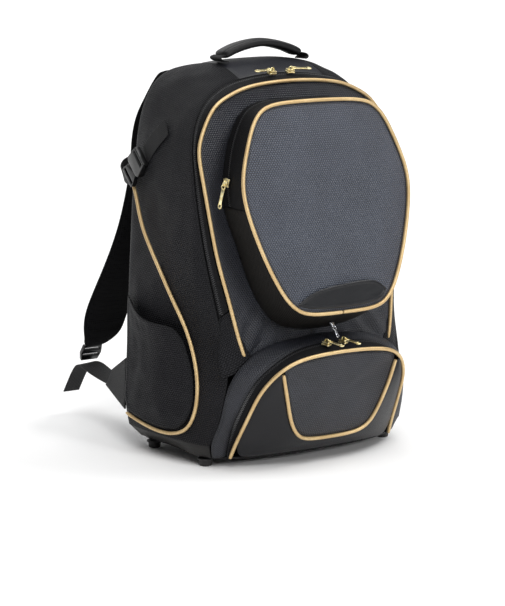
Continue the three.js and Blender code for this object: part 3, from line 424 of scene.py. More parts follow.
class Value:
    # A socket that arithmetic can be done on
    def __init__(self, paint, socket):
        self.paint = paint
        self.socket = socket

    def math(self, operation, *others):
        return self.paint.node("Math", {"operation": operation}, [self, *others])

    def __add__(self, other):
        return self.math("ADD", other)

    def __sub__(self, other):
        return self.math("SUBTRACT", other)

    def __mul__(self, other):
        return self.math("MULTIPLY", other)

    def __truediv__(self, other):
        return self.math("DIVIDE", other)

    def __pow__(self, other):
        return self.math("POWER", other)

    def __lt__(self, other):
        return self.math("LESS_THAN", other)

    def __gt__(self, other):
        return self.math("GREATER_THAN", other)

    def __rsub__(self, other):
        return self.paint.node("Math", {"operation": "SUBTRACT"}, [other, self])

    __radd__ = __add__
    __rmul__ = __mul__

    def step(self, low, high):
        ranges = {"From Min": low, "From Max": high, "Value": self}
        return self.paint.node("MapRange", {"interpolation_type": "SMOOTHSTEP"}, ranges)


class Paint:
    # A material in the making; shader settings are the same all over the surface
    def __init__(self, name, **shader):
        self.material = bpy.data.materials.new(name)
        self.material.use_nodes = True
        self.tree = self.material.node_tree
        self.shader = self.tree.nodes["Principled BSDF"]
        for key, value in shader.items():
            self.shader.inputs[key.replace("_", " ")].default_value = value

    def node(self, kind, settings, inputs, output=0):
        node = self.tree.nodes.new("ShaderNode" + kind)
        for key, value in settings.items():
            setattr(node, key, value)
        for key, value in (inputs.items() if isinstance(inputs, dict) else enumerate(inputs)):
            if isinstance(value, Value):
                self.tree.links.new(value.socket, node.inputs[key])
            else:
                node.inputs[key].default_value = value
        return Value(self, node.outputs[output])

    def feed(self, name, value):
        self.tree.links.new(value.socket, self.shader.inputs[name])

    def flat(self):
        # The piece's own map, in metres
        uv = self.node("UVMap", {"uv_map": "UVMap"}, {})
        u = self.node("SeparateXYZ", {}, [uv], 0)
        v = self.node("SeparateXYZ", {}, [uv], 1)
        return u, v

    def place(self):
        return self.node("TexCoord", {}, {}, "Object")

    def attribute(self, name):
        return self.node("Attribute", {"attribute_name": name}, {}, "Fac")

    def cloud(self, size, detail):
        return self.node("TexNoise", {}, {"Vector": self.place(), "Scale": 1 / size, "Detail": detail})

    def mix(self, share, low, high):
        colours = {0: share, 6: low, 7: high}
        return self.node("Mix", {"data_type": "RGBA"}, colours, 2)

    def bump(self, height, depth, strength):
        return self.node("Bump", {}, {"Height": height, "Distance": depth, "Strength": strength})


def rgb(r, g, b):
    # Screen colours, 0 to 255, as the linear values that Blender mixes
    parts = [c / 255 for c in (r, g, b)]
    line = [c / 12.92 if c <= 0.04045 else ((c + 0.055) / 1.055) ** 2.4 for c in parts]
    return (*line, 1)


def weaveCells(u, v, pitch, row):
    # Staggered raised cells, one row shifted by half a cell from the next
    line = (v / row).math("FLOOR")
    shift = (line * 0.5).math("FRACT")
    across = (u / pitch + shift).math("FRACT")
    up = (v / row).math("FRACT")
    return (across * math.pi).math("SINE") * (up * math.pi).math("SINE")


stitchLook = {"width": 0.0005, "dash": 0.68, "seamShadeFrom": 0.0002, "seamShadeTo": 0.0022}


def stitchesAndSeamShade(paint, inset, pitch):
    # Stitches beside the edge, and painted shade that darkens the seam itself
    fromEdge = paint.attribute("fromEdge")
    along = paint.attribute("alongEdge")
    line = (fromEdge - inset).math("ABSOLUTE") < stitchLook["width"]
    dash = (along / pitch).math("FRACT") < stitchLook["dash"]
    # Painted shade: darker within about 2 mm of the sheet's edge, as shade in the seam
    seam = 1 - fromEdge.step(stitchLook["seamShadeFrom"], stitchLook["seamShadeTo"])
    return line * dash, seam


def clothPaint(name, look):
    paint = Paint(name, Roughness=look["roughness"], Specular_IOR_Level=look["gloss"])
    u, v = paint.flat()
    cells = weaveCells(u, v, look["pitch"], look["row"])
    fibre = paint.cloud(0.0016, 2)
    broad = paint.cloud(0.06, 3)
    thread = (cells ** 0.6) * (0.8 + fibre * 0.4)
    colour = paint.mix(thread, look["deep"], look["light"])
    colour = paint.mix(broad.step(0.35, 0.7) * look["wear"], colour, look["faded"])
    stitch, seam = stitchesAndSeamShade(paint, look["stitchInset"], 0.0034)
    # Painted shade: the look's seam colour darkens the cloth along its edges
    colour = paint.mix(seam * 0.7, colour, look["seam"])
    colour = paint.mix(stitch * 0.75, colour, look["thread"])
    paint.feed("Base Color", colour)
    paint.feed("Roughness", look["roughness"] + (0.5 - thread) * 0.16)
    paint.feed("Normal", paint.bump(cells + stitch * 0.9 + fibre * 0.2, look["depth"], 0.9))
    return paint.material


# In each cloth look below, the seam colour is painted shade along the sheet's edges
slateLook = {
    "deep": rgb(7, 9, 13), "light": rgb(70, 76, 90), "faded": rgb(74, 80, 93),
    "seam": rgb(12, 12, 15), "thread": rgb(16, 17, 20), "roughness": 0.42, "gloss": 0.55,
    "pitch": 0.0034, "row": 0.0026, "depth": 0.0007, "wear": 0.25, "stitchInset": 0.0034,
}
darkLook = {
    "deep": rgb(2, 2, 3), "light": rgb(34, 34, 38), "faded": rgb(36, 36, 39),
    "seam": rgb(8, 8, 10), "thread": rgb(16, 16, 18), "roughness": 0.52, "gloss": 0.16,
    "pitch": 0.0034, "row": 0.0026, "depth": 0.0010, "wear": 0.3, "stitchInset": 0.0034,
}
shadeLook = dict(slateLook, deep=rgb(6, 7, 10), light=rgb(46, 48, 56), faded=rgb(58, 61, 70), gloss=0.45)
slateCloth = clothPaint("slateDobby", slateLook)
shadeCloth = clothPaint("deepSlateDobby", shadeLook)
darkCloth = clothPaint("darkDobby", darkLook)


def leatherPaint(name, colour, worn, roughness):
    # Smooth coated cloth with a fine pebble and a stitched edge
    paint = Paint(name, Roughness=roughness, Specular_IOR_Level=0.28)
    place = paint.place()
    pebble = paint.node("TexVoronoi", {"feature": "DISTANCE_TO_EDGE"}, {"Vector": place, "Scale": 700})
    grain = pebble.step(0.0, 0.35)
    fine = paint.cloud(0.0011, 2)
    broad = paint.cloud(0.05, 3)
    stitch, seam = stitchesAndSeamShade(paint, 0.0036, 0.0036)
    base = paint.mix(broad.step(0.3, 0.7) * 0.6, colour, worn)
    # Painted shade: darker along the seams
    base = paint.mix(seam * 0.6, base, rgb(10, 10, 12))
    base = paint.mix(stitch * 0.7, base, rgb(20, 20, 22))
    paint.feed("Base Color", base)
    paint.feed("Roughness", roughness + (fine - 0.5) * 0.14)
    paint.feed("Normal", paint.bump(grain + stitch * 2.0, 0.00012, 0.5))
    return paint.material


leatherDark = leatherPaint("coatedDark", rgb(22, 22, 25), rgb(30, 30, 33), 0.42)
leatherTop = leatherPaint("coatedTop", rgb(32, 33, 38), rgb(42, 43, 48), 0.4)
leatherWarm = leatherPaint("coatedBoot", rgb(22, 20, 18), rgb(31, 28, 25), 0.45)


def zipPaint(name, look):
    # Woven tape either side of the teeth, ribbed along its length, with a cloth flap at one side
    paint = Paint(name, Roughness=0.6, Specular_IOR_Level=0.14)
    u, v = paint.flat()
    ribs = ((v / 0.0011) * math.pi).math("SINE").math("ABSOLUTE")
    twill = (((u + v) / 0.0016) * math.pi).math("SINE").math("ABSOLUTE")
    tape = ribs * 0.6 + twill * 0.4
    flap = weaveCells(u, v, 0.0030, 0.0021)
    onFlap = (v > look["flap"][0]) * (v < look["flap"][1])
    height = tape * (1 - onFlap) + flap * onFlap
    fibre = paint.cloud(0.0016, 2)
    colour = paint.mix(height, look["deep"], look["light"])
    # Painted shade: near black under and beside the teeth, in the sunk band they sit in
    trough = 1 - (v - look["teeth"]).math("ABSOLUTE").step(0.0022, 0.0036)
    colour = paint.mix(trough, colour, rgb(7, 7, 8))
    stitch, seam = stitchesAndSeamShade(paint, 0.0034, 0.0034)
    # Painted shade: darker along the tape's edges
    colour = paint.mix(seam * 0.7, colour, rgb(7, 7, 8))
    paint.feed("Base Color", colour)
    paint.feed("Normal", paint.bump(height + fibre * 0.3 + stitch * 0.8, 0.0004, 0.8))
    return paint.material


def ribPaint(name, look):
    # Ribbed cloth: slanting ribs with finer ones across them
    paint = Paint(name, Roughness=0.62, Specular_IOR_Level=0.14)
    u, v = paint.flat()
    ribs = ((u * 0.55 + v) / look["pitch"] * math.pi).math("SINE").math("ABSOLUTE")
    cross = ((u - v * 0.4) / 0.0034 * math.pi).math("SINE").math("ABSOLUTE")
    fibre = paint.cloud(0.0014, 2)
    height = ribs * 0.8 + cross * 0.2
    colour = paint.mix(height * (0.7 + fibre * 0.6), look["deep"], look["light"])
    stitch, seam = stitchesAndSeamShade(paint, 0.0034, 0.0034)
    # Painted shade: darker along the seams
    colour = paint.mix(seam * 0.7, colour, rgb(7, 7, 8))
    paint.feed("Base Color", colour)
    paint.feed("Normal", paint.bump(height + stitch * 0.8, 0.0005, 0.9))
    return paint.material


gussetLook = {"pitch": 0.0032, "deep": rgb(6, 6, 6), "light": rgb(34, 32, 30)}
ribCloth = ribPaint("slantRib", gussetLook)


def webPaint(name, deep, light):
    # Flat webbing: ribs along it and a herringbone across
    paint = Paint(name, Roughness=0.68, Specular_IOR_Level=0.3)
    u, v = paint.flat()
    ribs = ((v / 0.0024) * math.pi).math("SINE").math("ABSOLUTE")
    slant = ((u + v * 0.6) / 0.0017 * math.pi).math("SINE").math("ABSOLUTE")
    fibre = paint.cloud(0.0012, 2)
    height = ribs * 0.6 + slant * 0.4
    paint.feed("Base Color", paint.mix(height * (0.75 + fibre * 0.5), deep, light))
    paint.feed("Normal", paint.bump(height, 0.0005, 0.9))
    return paint.material


webCloth = webPaint("blackWebbing", rgb(4, 4, 5), rgb(25, 25, 27))


def meshPaint(name, deep, light, tape):
    # Spacer mesh: small open holes between padded threads, bound with ribbed tape
    paint = Paint(name, Roughness=0.8, Specular_IOR_Level=0.05)
    place = paint.place()
    spots = {"Vector": place, "Scale": 330, "Randomness": 0.25}
    holes = paint.node("TexVoronoi", {"feature": "F1"}, spots)
    fibre = paint.cloud(0.0016, 2)
    thread = holes.step(0.12, 0.42)
    bound = paint.attribute("binding")
    height = paint.node("SeparateXYZ", {}, [place], 2)
    ribs = ((height / 0.0018) * math.pi).math("SINE").math("ABSOLUTE")
    colour = paint.mix(thread * (0.7 + fibre * 0.6), deep, light)
    colour = paint.mix(bound, colour, tape)
    paint.feed("Base Color", colour)
    paint.feed("Normal", paint.bump(thread * (1 - bound) + ribs * bound, 0.0007, 0.9))
    return paint.material


strapMesh = meshPaint("strapMesh", rgb(2, 2, 3), rgb(22, 22, 23), rgb(12, 12, 13))
# The padded back's spacer mesh is a lighter copy of the straps' one: painted light, so that the dimly lit
# back still shows
litBackMesh = meshPaint("litBackMesh", rgb(8, 8, 9), rgb(56, 56, 60), rgb(24, 24, 26))


def goldPaint(name):
    # Satin cord cover: pale gold with a soft sheen, browner in broad random patches
    paint = Paint(name, Roughness=0.36, Metallic=0.55, Specular_IOR_Level=0.6)
    place = paint.place()
    fibre = paint.cloud(0.0022, 3)
    broad = paint.cloud(0.03, 2)
    colour = paint.mix(fibre, rgb(198, 163, 108), rgb(238, 214, 166))
    colour = paint.mix(broad.step(0.3, 0.7) * 0.35, colour, rgb(176, 138, 84))
    twist = {"Vector": place, "Scale": 380, "Distortion": 1}
    fine = paint.node("TexWave", {"bands_direction": "DIAGONAL"}, twist)
    paint.feed("Base Color", colour)
    paint.feed("Roughness", 0.3 + fibre * 0.22)
    paint.feed("Normal", paint.bump(fine, 0.00015, 0.5))
    return paint.material


goldCord = goldPaint("goldSatin")


def metalPaint(name, bright, dull, roughness):
    paint = Paint(name, Metallic=1.0, Roughness=roughness)
    worn = paint.cloud(0.004, 4)
    fine = paint.cloud(0.0006, 2)
    colour = paint.mix(worn.step(0.35, 0.7), bright, dull)
    paint.feed("Base Color", colour)
    paint.feed("Roughness", roughness + (worn - 0.5) * 0.2)
    paint.feed("Normal", paint.bump(fine, 0.00005, 0.4))
    return paint.material


brass = metalPaint("paleBrass", rgb(255, 244, 198), rgb(236, 216, 152), 0.3)
silver = metalPaint("silver", rgb(196, 198, 202), rgb(150, 152, 158), 0.25)


def plasticPaint(name, colour, roughness, coat=0.0):
    paint = Paint(name, Roughness=roughness, Specular_IOR_Level=0.5, Coat_Weight=coat, Coat_Roughness=0.15)
    worn = paint.cloud(0.01, 4)
    fine = paint.cloud(0.0009, 3)
    paint.feed("Base Color", paint.mix(worn.step(0.4, 0.75) * 0.4, colour, rgb(32, 32, 34)))
    paint.feed("Roughness", roughness + (fine - 0.5) * 0.16)
    paint.feed("Normal", paint.bump(fine, 0.00008, 0.4))
    return paint.material


gloss = plasticPaint("mouldedBlack", rgb(10, 10, 11), 0.3, 0.2)
rubber = plasticPaint("rubberBlack", rgb(26, 25, 25), 0.55)
lining = leatherPaint("lining", rgb(20, 20, 22), rgb(28, 28, 30), 0.6)
print("materials made")

# Camera first: the photograph's place, distance and lens
camera = {"place": (-1.6885, -2.4664, 0.6958), "way": (0.56011, 0.81056, -0.17108), "lens": 135.57}
bpy.ops.object.camera_add(location=camera["place"])
eye = bpy.context.object
eye.rotation_euler = Vector(camera["way"]).to_track_quat("-Z", "Y").to_euler()
eye.data.lens = camera["lens"]
eye.data.sensor_width = 36
eye.data.clip_end = 100
bpy.context.scene.camera = eye


# The bag's panels

panelBase = {
    "levels": 3, "upwards": False, "flatMap": False, "grow": 0.0008, "lowGrow": None,
    "ease": 0.03, "dip": 0.0012, "dipReach": 0.006, "crumple": 0, "size": 0.07,
    "fine": 0, "fineSize": 0.024, "seed": 1,
}


def panel(node, title, material, slot, changes):
    look = {**panelBase, **changes}
    piece = outerSheet(copyOf(node, title))
    widen(piece, look["grow"], look["lowGrow"])
    if look["flatMap"]:
        refill(piece, look["span"])
        project(piece)
        smoother(piece, 1, subdivision_type="SIMPLE")
    else:
        unwrap(piece, upwards=look["upwards"])
    smoother(piece, look["levels"], boundary_smooth="PRESERVE_CORNERS")
    if look["flatMap"]:
        dome(piece, node)
    fromEdge = markEdges(piece)
    points = coordsOf(piece)
    inside = ramp(fromEdge, 0, look["ease"])
    amount = -look["dip"] * (1 - ramp(fromEdge, 0, look["dipReach"]))
    amount = amount + look["crumple"] * inside * crumple(points, look["size"], look["seed"])
    amount = amount + look["fine"] * inside * crumple(points, look["fineSize"], look["seed"] + 4)
    if "extra" in look:
        amount = amount + look["extra"](points, fromEdge)
    rise(piece, amount)
    thicken(piece)
    return settle(piece, slot, material, node)


frontWay = Vector((0, 1, 0))  # into the bag from its front


def dome(piece, node):
    # Lays the new grid back on the CAD plate, then eases its ripples away
    tree = BVHTree.FromObject(frame["nodes"][node], bpy.context.evaluated_depsgraph_get())
    points = coordsOf(piece)
    rim = set(i for loop in rimLoops(piece) for i in loop)
    for i, point in enumerate(points):
        hit = tree.ray_cast(Vector((point[0], -0.4, point[2])), frontWay)
        if i not in rim and hit[0] is not None and abs(hit[0].y - point[1]) < 0.03:
            points[i, 1] = hit[0].y
    putCoords(piece, points)
    easeSheet(piece, frontWay, 12)


def layOn(piece, node, way):
    # Lays a filled grid back on the CAD's outer face, looking along one way
    tree = BVHTree.FromObject(frame["nodes"][node], bpy.context.evaluated_depsgraph_get())
    points = coordsOf(piece)
    rim = set(i for loop in rimLoops(piece) for i in loop)
    for i, point in enumerate(points):
        hit = tree.ray_cast(Vector(point) - way * 0.1, way)
        if i not in rim and hit[0] is not None:
            points[i] = hit[0]
    putCoords(piece, points)
    easeSheet(piece, way, 10)


def easeSheet(piece, way, rounds):
    # Smooths a laid grid, and turns its faces to look back against the way
    mesh = bmesh.new()
    mesh.from_mesh(piece.data)
    loose = {"verts": [v for v in mesh.verts if not v.is_boundary], "factor": 0.5}
    axes = {"use_axis_x": True, "use_axis_y": True, "use_axis_z": True}
    for _ in range(rounds):
        bmesh.ops.smooth_vert(mesh, **loose, **axes)
    bmesh.ops.recalc_face_normals(mesh, faces=mesh.faces)
    if sum(f.normal.dot(way) * f.calc_area() for f in mesh.faces) > 0:
        bmesh.ops.reverse_faces(mesh, faces=mesh.faces)
    mesh.to_mesh(piece.data)
    mesh.free()


foldLook = {
    "front": 0.128, "lean": 0.05, "width": 0.011, "rise": 0.0022,
    "slack": 0.0016, "slackAt": 0.24, "slackReach": 0.05,
}


def sideFolds(points, fromEdge):
    # A soft upright fold beside the zip, and slack hollows above the side pocket
    y, z = points[:, 1], points[:, 2]
    front = y + foldLook["front"] + foldLook["lean"] * (z - 0.3)
    fold = np.exp(-(front / foldLook["width"]) ** 2) * ramp(z, 0.12, 0.25) * (1 - ramp(z, 0.36, 0.44))
    hollow = np.exp(-((z - foldLook["slackAt"]) / foldLook["slackReach"]) ** 2)
    slack = np.sin(z * 46 + y * 30) * hollow
    return ramp(fromEdge, 0, 0.02) * (foldLook["rise"] * fold + foldLook["slack"] * slack)


sideLook = {
    "upwards": True, "grow": 0.0016, "crumple": 0.0042, "fine": 0.0014, "size": 0.075, "seed": 2,
    "extra": sideFolds,
}
topLook = {"crumple": 0.0012, "size": 0.06, "seed": 3}
bootLook = {"crumple": 0.0005, "size": 0.05, "seed": 4, "dip": 0.0008}
for name in sides:
    panel(f"side_panel_{name}", f"side_cloth_{name}", darkCloth, "dark_fabric", sideLook)
panel("top_panel", "top_cloth", leatherTop, "leatherette", topLook)
for name in sides:
    panel(f"boot_{name}", f"boot_cloth_{name}", leatherWarm, "leatherette", bootLook)

# Each seam runs from one end to the other, as x and height
creaseLook = {
    "at": 0.172, "reach": 0.022, "rise": 0.0016, "seamWidth": 0.0021, "seamDip": 0.0018,
    "seams": (((0.135, 0.464), (0.112, 0.447)), ((0.060, 0.179), (0.104, 0.147))),
}


def frontFolds(points, fromEdge):
    # Short creases that spread from under the upper pocket towards the lower one, and sewn seams
    x, z = points[:, 0], points[:, 2]
    low = np.exp(-((z - creaseLook["at"]) / creaseLook["reach"]) ** 2)
    seams = np.zeros(len(points))
    for start, end in creaseLook["seams"]:
        away = np.stack((np.abs(x) - start[0], z - start[1]), axis=1)
        run = np.array(end) - np.array(start)
        share = np.clip(away @ run / (run @ run), 0, 1)
        far = np.linalg.norm(away - share[:, None] * run, axis=1)
        seams = np.maximum(seams, np.exp(-(far / creaseLook["seamWidth"]) ** 2))
    fan = np.sin(np.abs(x) * 210 + z * 150) * ramp(fromEdge, 0, 0.012)
    return creaseLook["rise"] * low * fan - creaseLook["seamDip"] * seams


frontLook = {
    "flatMap": True, "span": 10, "crumple": 0.0016, "fine": 0.0006, "seed": 5,
    "grow": 0.0018, "lowGrow": 0.007, "extra": frontFolds,
}
panel("front_panel", "front_cloth", shadeCloth, "slate_fabric", frontLook)
lowFrontLook = {"seed": 6, "grow": 0.006}
panel("lower_front_panel", "lower_front_cloth", darkCloth, "dark_fabric", lowFrontLook)
cornerLook = {"upwards": True, "crumple": 0.0006, "seed": 7, "lowGrow": 0.013, "grow": 0.0014}
for name in sides:
    panel(f"corner_panel_{name}", f"corner_cloth_{name}", darkCloth, "dark_fabric", cornerLook)
print("body panels made")

pocketLook = {
    "grow": 0.0014, "flatMap": True, "span": 10, "crumple": 0.0009, "fine": 0.0002, "size": 0.09, "seed": 8,
}
panel("upper_pocket_front", "upper_pocket_cloth", slateCloth, "slate_fabric", pocketLook)
gussetShape = {"crumple": 0.0007, "size": 0.03, "seed": 9}
panel("upper_pocket_gusset", "upper_gusset_cloth", ribCloth, "ribbed_gusset", gussetShape)
centreLook = {"grow": 0.0014, "flatMap": True, "span": 8, "crumple": 0.0006, "seed": 10}
panel("lower_pocket_centre", "lower_centre_cloth", shadeCloth, "slate_fabric", centreLook)
surroundLook = {"crumple": 0.0006, "size": 0.05, "seed": 11}
panel("lower_pocket_surround", "lower_surround_cloth", leatherDark, "leatherette", surroundLook)
lowGussetLook = {"crumple": 0.0009, "size": 0.03, "seed": 12}
panel("lower_pocket_gusset", "lower_gusset_cloth", shadeCloth, "dark_fabric", lowGussetLook)
print("pockets made")


# Zips: a woven band, and a chain of small teeth laid along it

def tooth(size):
    bpy.ops.mesh.primitive_cube_add(size=1)
    piece = bpy.context.object
    edit(piece)
    bpy.ops.mesh.select_all(action="SELECT")
    bpy.ops.transform.resize(value=size)
    bpy.ops.mesh.bevel(offset=min(size) * 0.28, segments=1, affect="EDGES")
    return done()


def repeat(piece, places, title):
    # One mesh of many copies; each place is a 4 by 4 matrix
    base = coordsOf(piece)
    faces = [list(p.vertices) for p in piece.data.polygons]
    points = []
    rings = []
    for k, place in enumerate(places):
        turned = base @ np.array(place.to_3x3()).T + np.array(place.translation)
        points.append(turned)
        rings += [[i + k * len(base) for i in face] for face in faces]
    mesh = bpy.data.meshes.new(title)
    mesh.from_pydata(np.concatenate(points).tolist(), [], rings)
    whole = bpy.data.objects.new(title, mesh)
    bpy.context.scene.collection.objects.link(whole)
    bpy.data.objects.remove(piece)
    return whole


chainLook = {"pitch": 0.0026, "size": (0.0013, 0.0026, 0.0012), "spread": 0.0009}
zipTeeth = plasticPaint("zipTeeth", rgb(46, 46, 48), 0.3)


def chain(sheet, title, height, length):
    # Teeth in two rows that mesh, from one end of the zip to the other
    find = uvSurface(sheet)
    pitch = chainLook["pitch"]
    places = []
    for k in range(int(length / pitch)):
        u = (k + 0.5) * pitch
        for row in (-1, 1):
            shift = 0.25 * pitch * row
            here, up = find(u + shift, height)
            ahead, _ = find(u + shift + 0.0005, height)
            along = (ahead - here).normalized()
            across = up.cross(along).normalized()
            spot = here + across * row * chainLook["spread"]
            turn = Matrix((along, across, up)).transposed().to_4x4()
            places.append(Matrix.Translation(spot) @ turn)
    piece = repeat(tooth(chainLook["size"]), places, title)
    return settle(piece, "zip_tape", zipTeeth, angle=30)


def zipBand(node, title, look):
    tape = zipPaint(title.replace("_zip", "ZipTape"), look)
    piece = outerSheet(copyOf(node, title))
    widen(piece, 0.0008)
    length, width = unwrap(piece)
    smoother(piece, 3, boundary_smooth="PRESERVE_CORNERS")
    fromEdge = markEdges(piece)
    height = np.zeros(len(piece.data.vertices))
    height[cornersOf(piece)] = uvOf(piece)[:, 1]
    trough = look["sink"] * (1 - ramp(np.abs(height - look["teeth"]), 0.002, 0.004))
    rise(piece, -trough - 0.0012 * (1 - ramp(fromEdge, 0, 0.003)))
    chain(piece, title + "_teeth", look["teeth"], length)
    print(title, "length", round(length, 4), "width", round(width, 4))
    thicken(piece)
    return settle(piece, "zip_tape", tape, node)


# Heights across the band, from its lower edge; a flap past the band's width isn't there
tapeLook = {"deep": rgb(4, 4, 5), "light": rgb(24, 24, 26), "flap": (0.5, 1.0), "sink": 0.0008}
mainZip = {**tapeLook, "flap": (0.014, 1.0), "teeth": 0.007}
upperZip = {**tapeLook, "teeth": 0.015}
lowerZip = {**tapeLook, "teeth": 0.006, "sink": 0.0006}
zipBand("main_zip_band", "main_zip", mainZip)
zipBand("upper_pocket_zip_band", "upper_zip", upperZip)
zipBand("lower_pocket_zip_tape", "lower_zip", lowerZip)
print("zips made")


# Piping: a round cord in a satin cover

def cordCover(node, title, look):
    piece = copyOf(node, title)
    smoother(piece, 2)
    shape(piece, "DISPLACE", strength=look["grow"], mid_level=0)
    return settle(piece, "gold_piping", goldCord, node, angle=60)


pipingLook = {"grow": 0.00035}
for node in ("main_piping", "upper_pocket_piping", "lower_arch_piping", "lower_u_piping",
             "side_piping_left", "side_piping_right"):
    cordCover(node, node + "_cover", pipingLook)
print("piping made")


# The blank patch and the side pockets

patchLook = {
    "span": 6, "levels": 4, "wall": 0.0016, "border": 0.0022, "borderWidth": 0.0013,
    "borderRise": 0.0009, "edgeDip": 0.0005, "thickness": 0.0015,
}
patchCoat = leatherPaint("patchCoat", rgb(22, 23, 26), rgb(30, 31, 34), 0.36)
patch = outerSheet(copyOf("patch", "blank_patch"), wall=patchLook["wall"])
refill(patch, patchLook["span"])
project(patch)
smoother(patch, patchLook["levels"], boundary_smooth="PRESERVE_CORNERS")
dome(patch, "patch")
patchEdge = markEdges(patch)
border = np.exp(-((patchEdge - patchLook["border"]) / patchLook["borderWidth"]) ** 2)
rise(patch, patchLook["borderRise"] * border - patchLook["edgeDip"] * (1 - ramp(patchEdge, 0, 0.001)))
thicken(patch, patchLook["thickness"], 0.0003)
settle(patch, "leatherette", patchCoat, "patch")

sidePocketLook = {
    "span": 6, "levels": 4, "crumple": 0.0034, "size": 0.05, "fine": 0.0014, "fineSize": 0.02, "seed": 14,
    "hem": 0.003, "hemWidth": 0.0024, "hemRise": 0.0006, "thickness": 0.002,
}


def sidePocket(name, look):
    node = f"side_pocket_{name}"
    piece = outerSheet(copyOf(node, f"side_pocket_cloth_{name}"))
    refill(piece, look["span"])
    smoother(piece, look["levels"], boundary_smooth="PRESERVE_CORNERS")
    layOn(piece, node, Vector((1 if name == "left" else -1, 0, 0)))
    project(piece, across=1)
    fromEdge = markEdges(piece)
    points = coordsOf(piece)
    inside = ramp(fromEdge, 0, 0.03)
    amount = look["crumple"] * inside * crumple(points, look["size"], look["seed"])
    amount = amount + look["fine"] * inside * crumple(points, look["fineSize"], look["seed"] + 3)
    hem = np.exp(-((fromEdge - look["hem"]) / look["hemWidth"]) ** 2)
    rise(piece, amount + look["hemRise"] * hem)
    thicken(piece, look["thickness"], 0.0005)
    return settle(piece, "dark_fabric", darkCloth, node)


for name in sides:
    sidePocket(name, sidePocketLook)
print("patch and side pockets made")


# The padded back, the pads of the shoulder straps, and the handle's grip

def markBinding(piece, bound):
    # Where the edge tape lies, from 0 to 1, for the mesh's material
    piece.data.attributes.new("binding", "FLOAT", "POINT").data.foreach_set("value", bound)


def padBlock(node, title, look, material, slot):
    piece = copyOf(node, title)
    smoother(piece, 3)
    shape(piece, "DISPLACE", strength=look["grow"], mid_level=0)
    normals = np.abs(normalsOf(piece))
    bound = look["bound"](normals)
    markBinding(piece, bound)
    rise(piece, look["relief"](coordsOf(piece), normalsOf(piece), bound))
    settle(piece, slot, material, node, angle=60)
    return piece


backLook = {
    "depth": 0.009, "span": 10, "swell": 0.0052, "shoulder": 0.022, "channels": (0.16, 0.29, 0.4),
    "spine": 0.004, "seam": 0.002, "border": 0.012, "sink": 0.0012, "tape": (0.009, 0.0105),
}


def backPad(look):
    # Six swollen cushions between sewn channels, bound with tape all round
    piece = outerSheet(copyOf("back_panel", "back_pad"), wall=look["depth"])
    refill(piece, look["span"])
    smoother(piece, 1, subdivision_type="SIMPLE")
    smoother(piece, 3, boundary_smooth="PRESERVE_CORNERS")
    layOn(piece, "back_panel", -frontWay)
    fromEdge = markEdges(piece)
    points = coordsOf(piece)
    x, z = points[:, 0], points[:, 2]
    gap = np.abs(x) - look["spine"]
    for height in look["channels"]:
        gap = np.minimum(gap, np.abs(z - height) - look["seam"])
    gap = np.minimum(np.maximum(gap, 0), np.maximum(fromEdge - look["border"], 0))
    cushion = 1 - (1 - np.clip(gap / look["shoulder"], 0, 1)) ** 2.2
    amount = look["swell"] * cushion - look["sink"] + crumple(points, 0.04, 23) * 0.0006 * cushion
    amount -= 0.0024 * (1 - ramp(fromEdge, 0, 0.004))
    markBinding(piece, 1 - ramp(fromEdge, *look["tape"]))
    rise(piece, amount)
    thicken(piece, look["depth"] - 0.001, 0.0012)
    settle(piece, "dark_fabric", litBackMesh, "back_panel", angle=60)


def strapRelief(points, normals, bound):
    # The tape stands proud of the mesh, and a stitched dip runs inside it
    inside = 1 - bound
    quilt = np.exp(-(((points[:, 2] * 26) % 1 - 0.5) / 0.09) ** 2)
    swell = crumple(points, 0.035, 21) * 0.0006
    return 0.0007 * bound + inside * (swell - 0.0006 * quilt * (np.abs(normals[:, 0]) < 0.3))


def gripRelief(points, normals, bound):
    # Two stitched rows along the padded grip
    rows = np.exp(-((np.abs(points[:, 1] + 0.037) - 0.0085) / 0.0012) ** 2) * (normals[:, 2] > 0.3)
    return -0.0007 * rows + crumple(points, 0.02, 22) * 0.0003


backPad(backLook)
padLook = {"grow": 0.0008, "relief": strapRelief, "bound": lambda n: ramp(n[:, 0], 0.55, 0.75)}
for name in sides:
    padBlock(f"shoulder_pad_{name}", f"strap_pad_{name}", padLook, strapMesh, "strap_padding")
gripLook = {"grow": 0.0012, "relief": gripRelief, "bound": lambda n: 0 * n[:, 0]}
padBlock("handle_grip", "grip", gripLook, leatherDark, "leatherette")


# Webbing

def ribbon(node, title, look, slot="webbing"):
    piece = outerSheet(copyOf(node, title), wall=look["wall"])
    unwrap(piece)
    smoother(piece, 3, boundary_smooth="PRESERVE_CORNERS")
    markEdges(piece)
    thicken(piece, look["wall"] - look["trim"], 0.0003)
    return settle(piece, slot, webCloth, node)


webLook = {"wall": 0.0016, "trim": 0.0002}
wingLook = {"wall": 0.0024, "trim": 0.0002}
for name in sides:
    for node in ("compression_webbing", "buckle_loop", "strap_webbing", "handle_end"):
        ribbon(f"{node}_{name}", f"{node}_{name}_web", webLook)
    ribbon(f"strap_wing_{name}", f"strap_wing_{name}_cloth", wingLook, "dark_fabric")
print("straps made")


# Mouldings and metal

def moulding(node, title, look, material, slot):
    piece = copyOf(node, title)
    soften(piece, look["round"], look["segments"], 25)
    return settle(piece, slot, material, node, angle=35)


buckleLook = {"round": 0.0012, "segments": 3}
footLook = {"round": 0.0008, "segments": 2}
for name in sides:
    for node in ("buckle_socket", "buckle_plug", "ladder_lock"):
        moulding(f"{node}_{name}", f"{node}_{name}_shell", buckleLook, gloss, "black_plastic")
    for place in ("front", "rear"):
        node = f"foot_{place}_{name}"
        moulding(node, node + "_rubber", footLook, rubber, "black_plastic")


# Zip sliders: a waisted body, a bridge over it, and a long pull with an eye at its end

